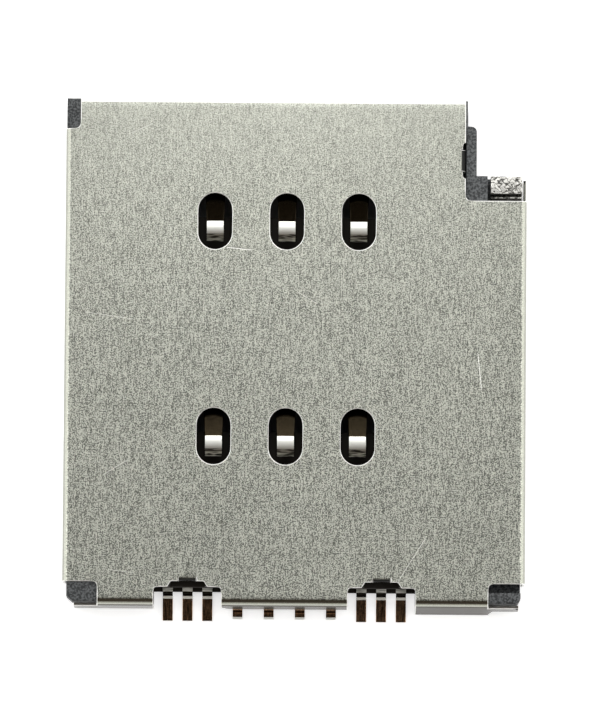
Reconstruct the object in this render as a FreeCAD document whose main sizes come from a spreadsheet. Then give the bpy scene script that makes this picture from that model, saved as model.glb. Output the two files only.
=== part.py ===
"""Card socket for a circuit board: moulded base, folded metal cover, six contact springs,
a card switch of two springs, and a push rod that turns a bell crank to eject the tray.

Millimetres. X runs across the socket, Y towards the mouth that the tray goes into, Z up from
the board. The origin lies on the board, under the middle of the six contact points.
"""
import FreeCAD, Part
import math
import os
import Sketcher

V = FreeCAD.Vector

# Driving sizes: alias, value, meaning
SIZES = (
    ("contact_pitch", 2.54, "pads side by side on a card"),
    ("row_pitch", 7.62, "between the two rows of pads"),
    ("height", 1.60, "top of the cover above the board"),
    ("sheet", 0.12, "thickness of the cover's sheet"),
    ("bend", 0.10, "inner radius of the cover's bends"),
    ("left_reach", 7.83, "origin to the cover's left side"),
    ("right_reach", 8.47, "origin to the cover's right side"),
    ("mouth_margin", 0.50, "roots of the front contacts to the mouth"),
    ("rear_reach", 9.68, "origin to the base's rear face"),
    ("wall_lift", 0.10, "cover's side walls above the board"),
    ("edge_roll", 0.05, "rounding of the cover's front edge"),
    ("side_gap", 0.03, "base to the cover's side walls"),
    ("cut_radius", 0.20, "inner corners of the cover's cut-outs"),
    ("window_width", 1.20, "windows over the contact points"),
    ("window_length", 2.00, "windows over the contact points"),
    ("corner_width", 0.51, "front left cut-out, across"),
    ("corner_depth", 1.07, "front left cut-out, front to rear"),
    ("nose_step", 2.17, "right side to the right edge of the narrow front"),
    ("step_depth", 3.55, "mouth to the cover's front edge over the rod"),
    ("skirt_depth", 2.75, "mouth to the front end of the low right wall"),
    ("skirt_height", 0.90, "height of the low right wall"),
    ("side_tab_depth", 2.13, "mouth to the middle of the nose's side tab"),
    ("side_tab_width", 0.78, "tab on the nose's right edge"),
    ("relief", 0.10, "depth of the small cuts beside a bent tab"),
    ("relief_width", 0.24, "small cuts beside a bent tab, width"),
    ("rear_left_width", 1.23, "left side to the rear left cut-out's end"),
    ("rear_right_width", 1.29, "right side to the rear right cut-out's end"),
    ("rear_cut_depth", 0.71, "rear cut-outs, forward of the rear face"),
    ("notch_place", 3.42, "middle of the notch over a set of tails"),
    ("notch_width", 2.38, "notch over a set of tails"),
    ("notch_depth", 0.54, "notch, forward of the rear face"),
    ("notch_round", 0.12, "inner corners of the notch"),
    ("head_width", 1.16, "narrow part of the notch, at its front"),
    ("head_slant", 0.12, "how far its slanting sides spread"),
    ("head_depth", 0.74, "narrow part, forward of the rear face"),
    ("tab_width", 0.66, "rear tab between its small cuts"),
    ("tab_foot", 0.95, "lower end of the bent tabs"),
    ("lean_left", 0.6, "rear flange left of the tails, degrees"),
    ("lean_middle", 2.5, "rear flange between the tails, degrees"),
    ("lean_right", 7.0, "rear flange right of the tails, degrees"),
    ("flange_lift", 0.10, "outer rear flanges above the board"),
    ("middle_lift", 0.65, "middle rear flange above the board"),
    ("ear_top", 1.15, "upper edge of the ears on the rear flanges"),
    ("ear_left_inset", 0.39, "left side to the end of the left ear"),
    ("ear_right_inset", 0.20, "right side to the end of the right ear"),
    ("latch_place", 4.50, "side latches, from the origin"),
    ("latch_width", 1.20, "lug of a side latch"),
    ("latch_low", 0.22, "lower edge of a lug"),
    ("latch_high", 0.62, "upper edge of a lug"),
    ("latch_gap", 0.04, "lug to its window"),
    ("solder_width", 1.20, "solder tabs below the side walls"),
    ("solder_depth", 1.75, "mouth to the front left solder tab"),
    ("solder_inset", 2.48, "rear face to the rear pair of solder tabs"),
    ("floor_thick", 0.45, "floor of the base"),
    ("left_wall", 0.53, "left side to the cavity"),
    ("rail_wall", 0.40, "nose's right edge to the cavity"),
    ("rear_wall", 0.93, "rear face to the cavity"),
    ("mouth_chamfer", 0.20, "lead-in at the mouth"),
    ("lip_out", 0.07, "base beside the nose, at the mouth"),
    ("block_out", 0.39, "base beside the nose, behind the lip"),
    ("block_depth", 0.90, "mouth to the front of that block"),
    ("channel_width", 1.39, "right side to the left wall of the rod's channel"),
    ("rail_depth", 2.66, "mouth to the front of the rod's channel"),
    ("bay_depth", 3.28, "rear face to the rail's rear end"),
    ("channel_wall", 0.41, "rear face to the rod's channel"),
    ("rear_chamfer", 0.20, "base's rear left corner, cut off"),
    ("rear_inset", 0.04, "base's rear left corner, inside its wall"),
    ("rear_round", 0.25, "base's rear right corner"),
    ("notch_wall", 0.58, "base inside the notch, above the floor"),
    ("notch_ledge", 0.45, "floor inside the notch"),
    ("tab_gap", 0.03, "base to the cover's bent tabs"),
    ("strip", 0.10, "thickness of the contact springs"),
    ("tail_width", 0.36, "lanes and tails of the contacts"),
    ("tail_pitch", 0.70, "tails side by side"),
    ("tail_reach", 0.57, "tails beyond the rear face"),
    ("foot_reach", 0.50, "feet of the card switch beyond the rear face"),
    ("tail_shoulder", 0.10, "from the base to a tail's upper bend"),
    ("tail_drop", 0.15, "from a tail's upper bend to its lower one"),
    ("tail_bend", 0.11, "middle radius of a tail's bends"),
    ("lane_outer", 4.42, "outer lanes, from the origin"),
    ("lane_middle", 3.65, "middle lanes, from the origin"),
    ("jog_depth", 1.36, "rear face to where the lanes turn to their tails"),
    ("root_width", 1.00, "root of a contact beam"),
    ("root_bar", 0.44, "bar that carries a beam"),
    ("beam_length", 3.40, "from the contact point to the root"),
    ("beam_flat", 0.15, "flat start of a beam"),
    ("beam_bend", 0.60, "radius where a beam leaves the floor"),
    ("crown_width", 0.60, "width of a contact point"),
    ("crown_back", 0.32, "crown behind the middle of its window"),
    ("crown_height", 1.42, "where the crown's two slopes meet"),
    ("crown_radius", 0.80, "roundness of a contact point"),
    ("tip_back", 0.66, "beam's tip behind the window's middle"),
    ("tip_height", 1.20, "height of the beam's tip"),
    ("floor_window", 1.50, "hole in the floor under a beam"),
    ("floor_window_rear", 0.25, "its rear edge, before the window's middle"),
    ("foot_pitch", 1.10, "feet of the card switch"),
    ("foot_width", 0.35, "feet of the card switch"),
    ("switch_wall", 0.38, "rear face to the rear of the switch"),
    ("switch_base", 0.30, "base strips of the switch, front to rear"),
    ("recess_width", 3.92, "recess for the switch"),
    ("switch_bend", 0.50, "radius of the bends in the switch's arm"),
    ("switch_low", 0.60, "lower edge of the switch's arm"),
    ("switch_high", 1.10, "upper edge of the switch's arm"),
    ("bulge_depth", 1.26, "rear face to the bulge of the switch's arm"),
    ("switch_gap", 0.10, "between the open switch's springs"),
    ("anvil_width", 0.90, "upright of the fixed spring"),
    ("run_gap", 0.02, "under the pieces that slide or turn"),
    ("rod_width", 1.28, "right side to the left side of the rod"),
    ("rod_gap", 0.05, "rod to the cover's right wall"),
    ("rod_top", 1.22, "top of the rod's bar"),
    ("head_length", 0.67, "head of the rod, front to rear"),
    ("head_top", 1.42, "top of the rod's head"),
    ("rod_edge", 0.04, "rounding of the rod's head"),
    ("rod_end", 0.36, "rod behind its notch"),
    ("notch_back", 0.35, "right side to the bottom of the rod's notch"),
    ("notch_mouth", 0.15, "rounded mouth of the rod's notch"),
    ("mesh_gap", 0.03, "lever's tip in the rod's notch"),
    ("pivot_inset", 2.44, "right side to the lever's pivot"),
    ("pivot_depth", 1.93, "rear face to the lever's pivot"),
    ("pin_radius", 0.40, "lever's pivot pin"),
    ("pin_gap", 0.03, "lever's bore round the pin"),
    ("pin_head", 0.62, "radius of the pin's head"),
    ("pin_head_thick", 0.20, "thickness of the pin's head"),
    ("pin_foot", 0.05, "pin's lower end above the board"),
    ("seat_radius", 0.74, "pad under the lever"),
    ("seat_top", 0.58, "top of the pad"),
    ("lever_thick", 0.40, "bell crank's sheet"),
    ("hub_radius", 0.74, "bell crank's hub"),
    ("rod_arm", 1.762, "pivot to the middle of the tip in the rod"),
    ("rod_arm_angle", 27.0, "that arm's direction at rest, degrees"),
    ("tip_radius", 0.30, "rounded end of that arm"),
    ("rod_arm_half", 0.13, "half width of that arm"),
    ("tray_arm", 2.60, "pivot to the end that pushes the tray"),
    ("tray_arm_angle", 185.0, "that arm's direction at rest, degrees"),
    ("tray_tip", 0.34, "rounded end of that arm"),
)

# Places that follow from the driving sizes: alias, formula, meaning
PLACES = (
    ("front_reach", "row_pitch / 2 + beam_length + root_bar + mouth_margin", "mouth"),
    ("step_front", "front_reach - step_depth", "front edge of the cover over the rod"),
    ("skirt_front", "front_reach - skirt_depth", "front end of the low right wall"),
    ("side_tab_place", "front_reach - side_tab_depth", "middle of the nose's side tab"),
    ("solder_front", "front_reach - solder_depth", "front left solder tab"),
    ("block_front", "front_reach - block_depth", "front of the block beside the nose"),
    ("rail_front", "front_reach - rail_depth", "front of the rod's channel"),
    ("solder_rear", "rear_reach - solder_inset", "rear pair of solder tabs"),
    ("cavity_rear", "rear_reach - rear_wall", "rear wall of the cavity"),
    ("rail_rear", "rear_reach - bay_depth", "rear end of the rail"),
    ("channel_rear", "rear_reach - channel_wall", "rear of the rod's channel"),
    ("tail_end", "rear_reach + tail_reach", "ends of the tails"),
    ("foot_end", "rear_reach + foot_reach", "ends of the card switch's feet"),
    ("jog_place", "rear_reach - jog_depth", "where the lanes turn to their tails"),
    ("switch_rear", "rear_reach - switch_wall", "rear of the switch"),
    ("switch_bulge", "rear_reach - bulge_depth", "bulge of the switch's arm"),
    ("pivot_y", "rear_reach - pivot_depth", "lever's pivot, behind the origin"),
    ("nose_right", "right_reach - nose_step", "right edge of the narrow front"),
    ("rear_left_cut", "left_reach - rear_left_width", "end of the rear left cut-out"),
    ("rear_right_cut", "right_reach - rear_right_width", "end of the rear right cut-out"),
    ("ear_left", "left_reach - ear_left_inset", "end of the left ear"),
    ("ear_right", "right_reach - ear_right_inset", "end of the right ear"),
    ("cavity_left", "left_reach - left_wall", "left wall of the cavity"),
    ("cavity_right", "nose_right - rail_wall", "right wall of the cavity"),
    ("lip_right", "nose_right + lip_out", "right side of the lip at the mouth"),
    ("block_right", "nose_right + block_out", "right side of the block behind the lip"),
    ("rail_right", "right_reach - channel_width", "left wall of the rod's channel"),
    ("rod_left", "right_reach - rod_width", "left side of the rod"),
    ("notch_floor", "right_reach - notch_back", "bottom of the rod's notch"),
    ("pivot_x", "right_reach - pivot_inset", "lever's pivot, across"),
)

doc = FreeCAD.newDocument("card_socket")
sheet = doc.addObject("Spreadsheet::Sheet", "Sizes")
rows = [(alias, str(number), meaning) for alias, number, meaning in SIZES]
rows += [(alias, f"={formula}", meaning) for alias, formula, meaning in PLACES]
for line, (alias, content, meaning) in enumerate(rows, 1):
    sheet.set(f"A{line}", alias)
    sheet.set(f"B{line}", content)
    sheet.set(f"C{line}", meaning)
    sheet.setAlias(f"B{line}", alias)
doc.recompute()

# Lengths that several pieces share, as expressions over the sheet
UNDER = "(Sizes.height - Sizes.sheet)"
INNER_LEFT = "(Sizes.left_reach - Sizes.sheet)"
INNER_RIGHT = "(Sizes.right_reach - Sizes.sheet)"
BASE_LEFT = "(Sizes.left_reach - Sizes.sheet - Sizes.side_gap)"
BASE_RIGHT = "(Sizes.right_reach - Sizes.sheet - Sizes.side_gap)"
ROUND = "(Sizes.bend + Sizes.sheet)"
FLANGE = "(Sizes.rear_reach + Sizes.sheet)"
TAB_FACE = "(Sizes.rear_reach - Sizes.head_depth + Sizes.sheet)"
LEDGE = "(Sizes.rear_reach - Sizes.notch_ledge)"
STRIP_LOW = "(Sizes.floor_thick - Sizes.strip)"
STRIP_MIDDLE = "(Sizes.floor_thick - Sizes.strip / 2)"
SLIDE_LOW = "(Sizes.floor_thick + Sizes.run_gap)"
LEVER_LOW = "(Sizes.seat_top + Sizes.run_gap)"
LEVER_HIGH = "(Sizes.seat_top + Sizes.run_gap + Sizes.lever_thick)"
BEYOND = "(Sizes.left_reach + Sizes.right_reach)"


def value(expression):
    """The number that an expression over the sheet gives."""
    return float(sheet.evalExpression(expression))


def new_body(label):
    """An empty body that carries a piece's name."""
    body = doc.addObject("PartDesign::Body", label)
    body.Label = label
    return body


def new_sketch(body, name, role, across="0", along="0", lift="0", turn="0"):
    """A sketch on one of the body's own planes, moved and turned in it by expressions."""
    sketch = body.newObject("Sketcher::SketchObject", name)
    plane = [item for item in body.Origin.OriginFeatures if item.Role == role][0]
    sketch.AttachmentSupport = [(plane, "")]
    sketch.MapMode = "FlatFace"
    sketch.setExpression("AttachmentOffset.Base.x", across)
    sketch.setExpression("AttachmentOffset.Base.y", along)
    sketch.setExpression("AttachmentOffset.Base.z", lift)
    sketch.setExpression("AttachmentOffset.Rotation.Angle", f"({turn}) * 1 deg")
    return sketch


def fix_point(sketch, geometry, end, x, y):
    """Holds one end of a sketch element at a place given by two expressions."""
    for kind, expression in (("DistanceX", x), ("DistanceY", y)):
        number = sketch.addConstraint(
            Sketcher.Constraint(kind, -1, 1, geometry, end, value(expression)))
        sketch.setExpression(f"Constraints[{number}]", expression)


def fix_radius(sketch, geometry, expression):
    """Binds the radius of a circle or an arc to an expression."""
    number = sketch.addConstraint(Sketcher.Constraint("Radius", geometry, value(expression)))
    sketch.setExpression(f"Constraints[{number}]", expression)


def draw_line(sketch, corners, closed):
    """Straight runs through corners (x, y) or (x, y, radius). A corner with a radius is an arc
    tangent to both runs, and a point at the corner itself holds the two runs in place."""
    count = len(corners)
    places = [V(value(corner[0]), value(corner[1]), 0) for corner in corners]
    cuts = []
    for index, corner in enumerate(corners):
        back = (places[index - 1] - places[index]).normalize()
        ahead = (places[(index + 1) % count] - places[index]).normalize()
        reach = value(corner[2]) / math.tan(back.getAngle(ahead) / 2) if len(corner) > 2 else 0
        cuts.append((places[index] + back * reach, places[index] + ahead * reach))
    runs = count if closed else count - 1
    lines = []
    for index in range(runs):
        segment = Part.LineSegment(cuts[index][1], cuts[(index + 1) % count][0])
        lines.append(sketch.addGeometry(segment, False))
    for index, corner in enumerate(corners):
        before = lines[index - 1] if closed or index > 0 else None
        after = lines[index] if index < runs else None
        if len(corner) > 2:
            round_corner(sketch, places[index], cuts[index], corner, before, after)
            continue
        if before is not None and after is not None:
            sketch.addConstraint(Sketcher.Constraint("Coincident", before, 2, after, 1))
        if after is not None:
            fix_point(sketch, after, 1, corner[0], corner[1])
        else:
            fix_point(sketch, before, 2, corner[0], corner[1])


def round_corner(sketch, place, cut, corner, before, after):
    """The tangent arc of one rounded corner, with its held corner point."""
    point = sketch.addGeometry(Part.Point(place), True)
    fix_point(sketch, point, 1, corner[0], corner[1])
    inward = (cut[0] + cut[1]) * 0.5 - place
    reach = (cut[0] - place).Length
    to_centre = (reach ** 2 + value(corner[2]) ** 2) ** 0.5
    inward.normalize()
    through = place + inward * (to_centre - value(corner[2]))
    arc = sketch.addGeometry(Part.Arc(cut[0], through, cut[1]), False)
    first, last = 1, 2
    if (sketch.getPoint(arc, 1) - cut[0]).Length > (sketch.getPoint(arc, 2) - cut[0]).Length:
        first, last = 2, 1
    sketch.addConstraint(Sketcher.Constraint("Tangent", before, 2, arc, first))
    sketch.addConstraint(Sketcher.Constraint("Tangent", arc, last, after, 1))
    sketch.addConstraint(Sketcher.Constraint("PointOnObject", point, 1, before))
    sketch.addConstraint(Sketcher.Constraint("PointOnObject", point, 1, after))
    fix_radius(sketch, arc, corner[2])


def rectangle(left, right, rear, front):
    """The four corners of an upright rectangle."""
    return [(left, rear), (right, rear), (right, front), (left, front)]


def draw_circle(sketch, x, y, radius):
    """A circle about a held centre."""
    circle = sketch.addGeometry(
        Part.Circle(V(value(x), value(y), 0), V(0, 0, 1), value(radius)), False)
    fix_point(sketch, circle, 3, x, y)
    fix_radius(sketch, circle, radius)


def draw_slot(sketch, first, last, radius):
    """A shape with two parallel sides and two round ends, about two held centres."""
    ends = [V(value(x), value(y), 0) for x, y in (first, last)]
    along = (ends[1] - ends[0]).normalize()
    side = V(-along.y, along.x, 0) * value(radius)
    arcs = []
    for centre, outward in ((ends[0], -along), (ends[1], along)):
        through = centre + outward * value(radius)
        start = centre + (side if outward == -along else -side)
        stop = centre + (-side if outward == -along else side)
        arcs.append(sketch.addGeometry(Part.Arc(start, through, stop), False))
    sides = [sketch.addGeometry(Part.LineSegment(ends[0] - side, ends[1] - side), False),
             sketch.addGeometry(Part.LineSegment(ends[1] + side, ends[0] + side), False)]
    joints = ((sides[0], 1, arcs[0]), (sides[0], 2, arcs[1]),
              (sides[1], 1, arcs[1]), (sides[1], 2, arcs[0]))
    for line, end, arc in joints:
        near = sketch.getPoint(line, end)
        arc_end = 1 if (sketch.getPoint(arc, 1) - near).Length < value(radius) / 2 else 2
        sketch.addConstraint(Sketcher.Constraint("Tangent", line, end, arc, arc_end))
    fix_point(sketch, arcs[0], 3, first[0], first[1])
    fix_point(sketch, arcs[1], 3, last[0], last[1])
    fix_radius(sketch, arcs[0], radius)


def prism(body, kind, role, low, high, outlines, name):
    """A Pad or Pocket between two heights along a plane's axis, from closed outlines."""
    length = f"({high}) - ({low})"
    lifts = {("Pad", "XZ_Plane"): f"-({high})", ("Pocket", "XZ_Plane"): f"-({low})",
             ("Pocket", "XY_Plane"): high, ("Pocket", "YZ_Plane"): high}
    sketch = new_sketch(body, f"{name}_outline", role, lift=lifts.get((kind, role), low))
    for outline in outlines:
        if outline[0] == "slot":
            draw_slot(sketch, outline[1], outline[2], outline[3])
        elif outline[0] == "circle":
            draw_circle(sketch, outline[1], outline[2], outline[3])
        else:
            draw_line(sketch, outline, True)
    feature = body.newObject(f"PartDesign::{kind}", name)
    feature.Profile = sketch
    feature.setExpression("Length", length)
    doc.recompute()
    return feature


def sweep(body, name, profile, path):
    """An AdditivePipe of a profile sketch along a path sketch."""
    feature = body.newObject("PartDesign::AdditivePipe", name)
    feature.Profile = profile
    feature.Spine = path
    doc.recompute()
    return feature


def edges_of(feature, test):
    """Names of the edges of a feature whose both ends pass a test."""
    return [f"Edge{number}" for number, edge in enumerate(feature.Shape.Edges, 1)
            if all(test(vertex.Point) for vertex in edge.Vertexes)]


def soften(body, kind, name, test, size):
    """A Fillet or Chamfer of a named size on the edges that pass a test."""
    base = body.Tip
    feature = body.newObject(f"PartDesign::{kind}", name)
    feature.Base = (base, edges_of(base, test))
    feature.setExpression("Radius" if kind == "Fillet" else "Size", size)
    doc.recompute()


def near(number, expression):
    """True where a coordinate is the one that an expression gives."""
    return abs(number - value(expression)) < 1e-4


# The cover is one folded sheet: a channel open below, with a rear flange in three sections,
# bent tabs that hook the base, latch windows in its sides and six windows over the contacts.

def bent_leg(start, face, lean, foot, top="Sizes.height"):
    """Outline of a sheet that runs level from start and bends down at face, leaning outward."""
    lean_in = f"Sizes.sheet / cos({lean})"
    drop = f"({top} - ({foot})) * tan({lean})"
    return [(f"-({start})", top), (f"-({face})", top, ROUND), (f"-({face}) - {drop}", foot),
            (f"-({face}) - {drop} + {lean_in}", foot),
            (f"-({face}) - Sizes.sheet * tan({lean}) + {lean_in}", f"{top} - Sizes.sheet",
             "Sizes.bend"),
            (f"-({start})", f"{top} - Sizes.sheet")]


def cover_channel(shell):
    """Top and side walls, as one bent section along the socket."""
    section = [("-Sizes.left_reach", "Sizes.wall_lift"), ("-Sizes.left_reach", "Sizes.height", ROUND),
               ("Sizes.right_reach", "Sizes.height", ROUND), ("Sizes.right_reach", "Sizes.wall_lift"),
               (INNER_RIGHT, "Sizes.wall_lift"), (INNER_RIGHT, UNDER, "Sizes.bend"),
               (f"-{INNER_LEFT}", UNDER, "Sizes.bend"), (f"-{INNER_LEFT}", "Sizes.wall_lift")]
    prism(shell, "Pad", "XZ_Plane", f"-({FLANGE} - {ROUND})", "Sizes.front_reach", [section],
          "channel")


def cover_rear(shell):
    """The three sections of the rear flange, and the ears that reach past the outer ones."""
    start = f"{FLANGE} - {ROUND} - Sizes.bend"
    notch_out = "(Sizes.notch_place + Sizes.notch_width / 2)"
    notch_in = "(Sizes.notch_place - Sizes.notch_width / 2)"
    sections = (
        ("left", "-Sizes.rear_left_cut", f"-{notch_out}", "Sizes.lean_left", "Sizes.flange_lift"),
        ("middle", f"-{notch_in}", notch_in, "Sizes.lean_middle", "Sizes.middle_lift"),
        ("right", notch_out, "Sizes.rear_right_cut", "Sizes.lean_right", "Sizes.flange_lift"))
    for name, low, high, lean, foot in sections:
        prism(shell, "Pad", "YZ_Plane", low, high, [bent_leg(start, FLANGE, lean, foot)],
              f"flange_{name}")
    ears = (("left", "-Sizes.ear_left", "-Sizes.rear_left_cut", "Sizes.lean_left"),
            ("right", "Sizes.rear_right_cut", "Sizes.ear_right", "Sizes.lean_right"))
    for name, low, high, lean in ears:
        outer = f"-{FLANGE} - (Sizes.height - %s) * tan({lean})"
        inner = f"{outer} + Sizes.sheet / cos({lean})"
        blade = [(outer % "Sizes.flange_lift", "Sizes.flange_lift"),
                 (inner % "Sizes.flange_lift", "Sizes.flange_lift"),
                 (inner % "Sizes.ear_top", "Sizes.ear_top"),
                 (outer % "Sizes.ear_top", "Sizes.ear_top")]
        prism(shell, "Pad", "YZ_Plane", low, high, [blade], f"ear_{name}")


def cover_cuts(shell):
    """Corner cut-outs, the step beside the rod, the notches over the tails and the windows."""
    beyond = "(Sizes.front_reach + Sizes.sheet)"
    step = [("Sizes.nose_right", "Sizes.step_front", "Sizes.cut_radius"),
            (BEYOND, "Sizes.step_front"), (BEYOND, beyond), ("Sizes.nose_right", beyond)]
    prism(shell, "Pocket", "XY_Plane", "Sizes.skirt_height", "Sizes.height + Sizes.sheet", [step],
          "rod_step")
    corner_x = "-Sizes.left_reach + Sizes.corner_width"
    corner_y = "Sizes.front_reach - Sizes.corner_depth"
    corner = [(f"-{BEYOND}", corner_y), (corner_x, corner_y, "Sizes.cut_radius"),
              (corner_x, beyond), (f"-{BEYOND}", beyond)]
    rear = "-(Sizes.rear_reach - Sizes.rear_cut_depth)"
    left = [(f"-{BEYOND}", rear), (f"-{BEYOND}", f"-{FLANGE} + {ROUND} - Sizes.bend"),
            ("-Sizes.rear_left_cut", f"-{FLANGE} + {ROUND} - Sizes.bend"),
            ("-Sizes.rear_left_cut", rear, "Sizes.cut_radius")]
    right = [("Sizes.rear_right_cut", rear, "Sizes.cut_radius"),
             ("Sizes.rear_right_cut", f"-{FLANGE} + {ROUND} - Sizes.bend"),
             (BEYOND, f"-{FLANGE} + {ROUND} - Sizes.bend"), (BEYOND, rear)]
    skirt = rectangle("Sizes.nose_right", BEYOND, "Sizes.skirt_front", beyond)
    prism(shell, "Pocket", "XY_Plane", "0", "Sizes.height + Sizes.sheet", [skirt], "skirt_end")
    prism(shell, "Pocket", "XY_Plane", "0", "Sizes.height + Sizes.sheet", [corner], "front_corner")
    prism(shell, "Pocket", "XY_Plane", "0", "Sizes.height + Sizes.sheet", [left, right],
          "rear_corners")
    notches = []
    for side in ("-", ""):
        middle = f"{side}Sizes.notch_place"
        left_side = f"{middle} - Sizes.notch_width / 2"
        right_side = f"{middle} + Sizes.notch_width / 2"
        notches.append([(left_side, f"-{FLANGE} - Sizes.sheet"),
                        (right_side, f"-{FLANGE} - Sizes.sheet"),
                        (right_side, "-Sizes.rear_reach + Sizes.notch_depth", "Sizes.notch_round"),
                        (left_side, "-Sizes.rear_reach + Sizes.notch_depth", "Sizes.notch_round")])
    prism(shell, "Pocket", "XY_Plane", "0", "Sizes.height + Sizes.sheet", notches, "tail_notches")
    for side, name in (("-", "left"), ("", "right")):
        half = "Sizes.head_width / 2"
        wide = f"({half} + Sizes.head_slant)"
        middle = f"{side}Sizes.notch_place"
        foot = "-Sizes.rear_reach + Sizes.notch_depth"
        tip = "-Sizes.rear_reach + Sizes.head_depth"
        head = [(f"{middle} - {wide}", foot), (f"{middle} + {wide}", foot),
                (f"{middle} + {half}", tip), (f"{middle} - {half}", tip)]
        prism(shell, "Pocket", "XY_Plane", "Sizes.skirt_height", "Sizes.height + Sizes.sheet",
              [head], f"notch_head_{name}")


def cover_tabs(shell):
    """Tabs bent down into the base, in both notches and at the nose's right edge, and the
    solder tabs that stand on the board."""
    for side, name in (("-", "left"), ("", "right")):
        middle = f"{side}Sizes.notch_place"
        prism(shell, "Pad", "YZ_Plane", f"{middle} - Sizes.tab_width / 2",
              f"{middle} + Sizes.tab_width / 2",
              [bent_leg(f"{TAB_FACE} - {ROUND} - Sizes.bend", TAB_FACE, "0", "Sizes.tab_foot")],
              f"rear_tab_{name}")
    middle = "Sizes.side_tab_place"
    low = f"{middle} - Sizes.side_tab_width / 2"
    high = f"{middle} + Sizes.side_tab_width / 2"
    edge = "Sizes.nose_right"
    prism(shell, "Pocket", "XY_Plane", "Sizes.skirt_height", "Sizes.height + Sizes.sheet",
          [rectangle(f"{edge} - {ROUND}", f"{edge} + Sizes.sheet", low, high)], "side_tab_gap")
    reliefs = [rectangle(f"{edge} - Sizes.relief", f"{edge} + Sizes.sheet",
                         f"{low} - Sizes.relief_width", low),
               rectangle(f"{edge} - Sizes.relief", f"{edge} + Sizes.sheet", high,
                         f"{high} + Sizes.relief_width")]
    prism(shell, "Pocket", "XY_Plane", "Sizes.skirt_height", "Sizes.height + Sizes.sheet", reliefs,
          "side_tab_reliefs")
    leg = [(f"{edge} - {ROUND} - Sizes.bend", "Sizes.height"), (edge, "Sizes.height", ROUND),
           (edge, "Sizes.tab_foot"), (f"{edge} - Sizes.sheet", "Sizes.tab_foot"),
           (f"{edge} - Sizes.sheet", UNDER, "Sizes.bend"), (f"{edge} - {ROUND} - Sizes.bend", UNDER)]
    prism(shell, "Pad", "XZ_Plane", low, high, [leg], "side_tab")
    feet = []
    half = "Sizes.solder_width / 2"
    for wall in (("-Sizes.left_reach", f"-{INNER_LEFT}"), (INNER_RIGHT, "Sizes.right_reach")):
        front = "Sizes.solder_front" if wall[0].startswith("-") else "Sizes.step_front - " + half
        feet.append(rectangle(wall[0], wall[1], f"{front} - {half}", f"{front} + {half}"))
        feet.append(rectangle(wall[0], wall[1], f"-Sizes.solder_rear - {half}",
                              f"-Sizes.solder_rear + {half}"))
    prism(shell, "Pad", "XY_Plane", "0", "Sizes.wall_lift", feet, "solder_tabs")


def cover_windows(shell):
    """Six windows over the contact points and two latch windows in each side wall."""
    ends = "(Sizes.window_length - Sizes.window_width) / 2"
    centre_x = "-Sizes.contact_pitch"
    centre_y = "-Sizes.row_pitch / 2"
    slot = ("slot", (centre_x, f"{centre_y} - {ends}"), (centre_x, f"{centre_y} + {ends}"),
            "Sizes.window_width / 2")
    window = prism(shell, "Pocket", "XY_Plane", "Sizes.skirt_height", "Sizes.height + Sizes.sheet",
                   [slot], "window")
    pattern = shell.newObject("PartDesign::LinearPattern", "windows")
    pattern.Originals = [window]
    axes = {item.Role: item for item in shell.Origin.OriginFeatures}
    pattern.Direction = (axes["X_Axis"], [""])
    pattern.setExpression("Length", "2 * Sizes.contact_pitch")
    pattern.Occurrences = 3
    pattern.Direction2 = (axes["Y_Axis"], [""])
    pattern.setExpression("Length2", "Sizes.row_pitch")
    pattern.Occurrences2 = 2
    shell.Tip = pattern
    doc.recompute()
    latches = []
    half = "(Sizes.latch_width / 2 + Sizes.latch_gap)"
    for place in ("-Sizes.latch_place", "Sizes.latch_place - Sizes.latch_width"):
        latches.append(rectangle(f"{place} - {half}", f"{place} + {half}",
                                 "Sizes.latch_low - Sizes.latch_gap",
                                 "Sizes.latch_high + Sizes.latch_gap"))
    prism(shell, "Pocket", "YZ_Plane", f"-{BEYOND}", f"-{INNER_LEFT} + Sizes.bend", latches,
          "left_latch_windows")
    prism(shell, "Pocket", "YZ_Plane", f"{INNER_RIGHT} - Sizes.bend", BEYOND, latches,
          "right_latch_windows")


def make_shell():
    """The whole cover."""
    shell = new_body("shell")
    cover_channel(shell)
    cover_rear(shell)
    cover_cuts(shell)
    cover_tabs(shell)
    cover_windows(shell)
    soften(shell, "Fillet", "front_roll",
           lambda p: near(p.y, "Sizes.front_reach") and near(p.z, "Sizes.height"),
           "Sizes.edge_roll")
    return shell


# The base is one moulding. The contacts and the switch's springs are moulded into its floor,
# flush with the floor's top, so their outlines are also pockets in it.

CONTACTS = (
    ("contact_supply", "-Sizes.contact_pitch", "1", "-Sizes.lane_outer",
     "-(Sizes.notch_place + Sizes.tail_pitch)"),
    ("contact_ground", "-Sizes.contact_pitch", "-1", "-Sizes.lane_middle", "-Sizes.notch_place"),
    ("contact_reset", "0", "1", "-Sizes.contact_pitch / 2",
     "-(Sizes.notch_place - Sizes.tail_pitch)"),
    ("contact_programming", "0", "-1", "Sizes.contact_pitch / 2",
     "(Sizes.notch_place - Sizes.tail_pitch)"),
    ("contact_data", "Sizes.contact_pitch", "-1", "Sizes.lane_middle", "Sizes.notch_place"),
    ("contact_clock", "Sizes.contact_pitch", "1", "Sizes.lane_outer",
     "(Sizes.notch_place + Sizes.tail_pitch)"))

SWITCH_BASES = (
    ("-(3 * Sizes.foot_pitch + Sizes.foot_width) / 2", "-(Sizes.foot_pitch - Sizes.foot_width) / 2"),
    ("(Sizes.foot_pitch - Sizes.foot_width) / 2", "(3 * Sizes.foot_pitch + Sizes.foot_width) / 2"))


def root_of(row):
    """Where the beam of a row leaves the floor."""
    return f"({row} * Sizes.row_pitch / 2 + Sizes.beam_length)"


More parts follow.
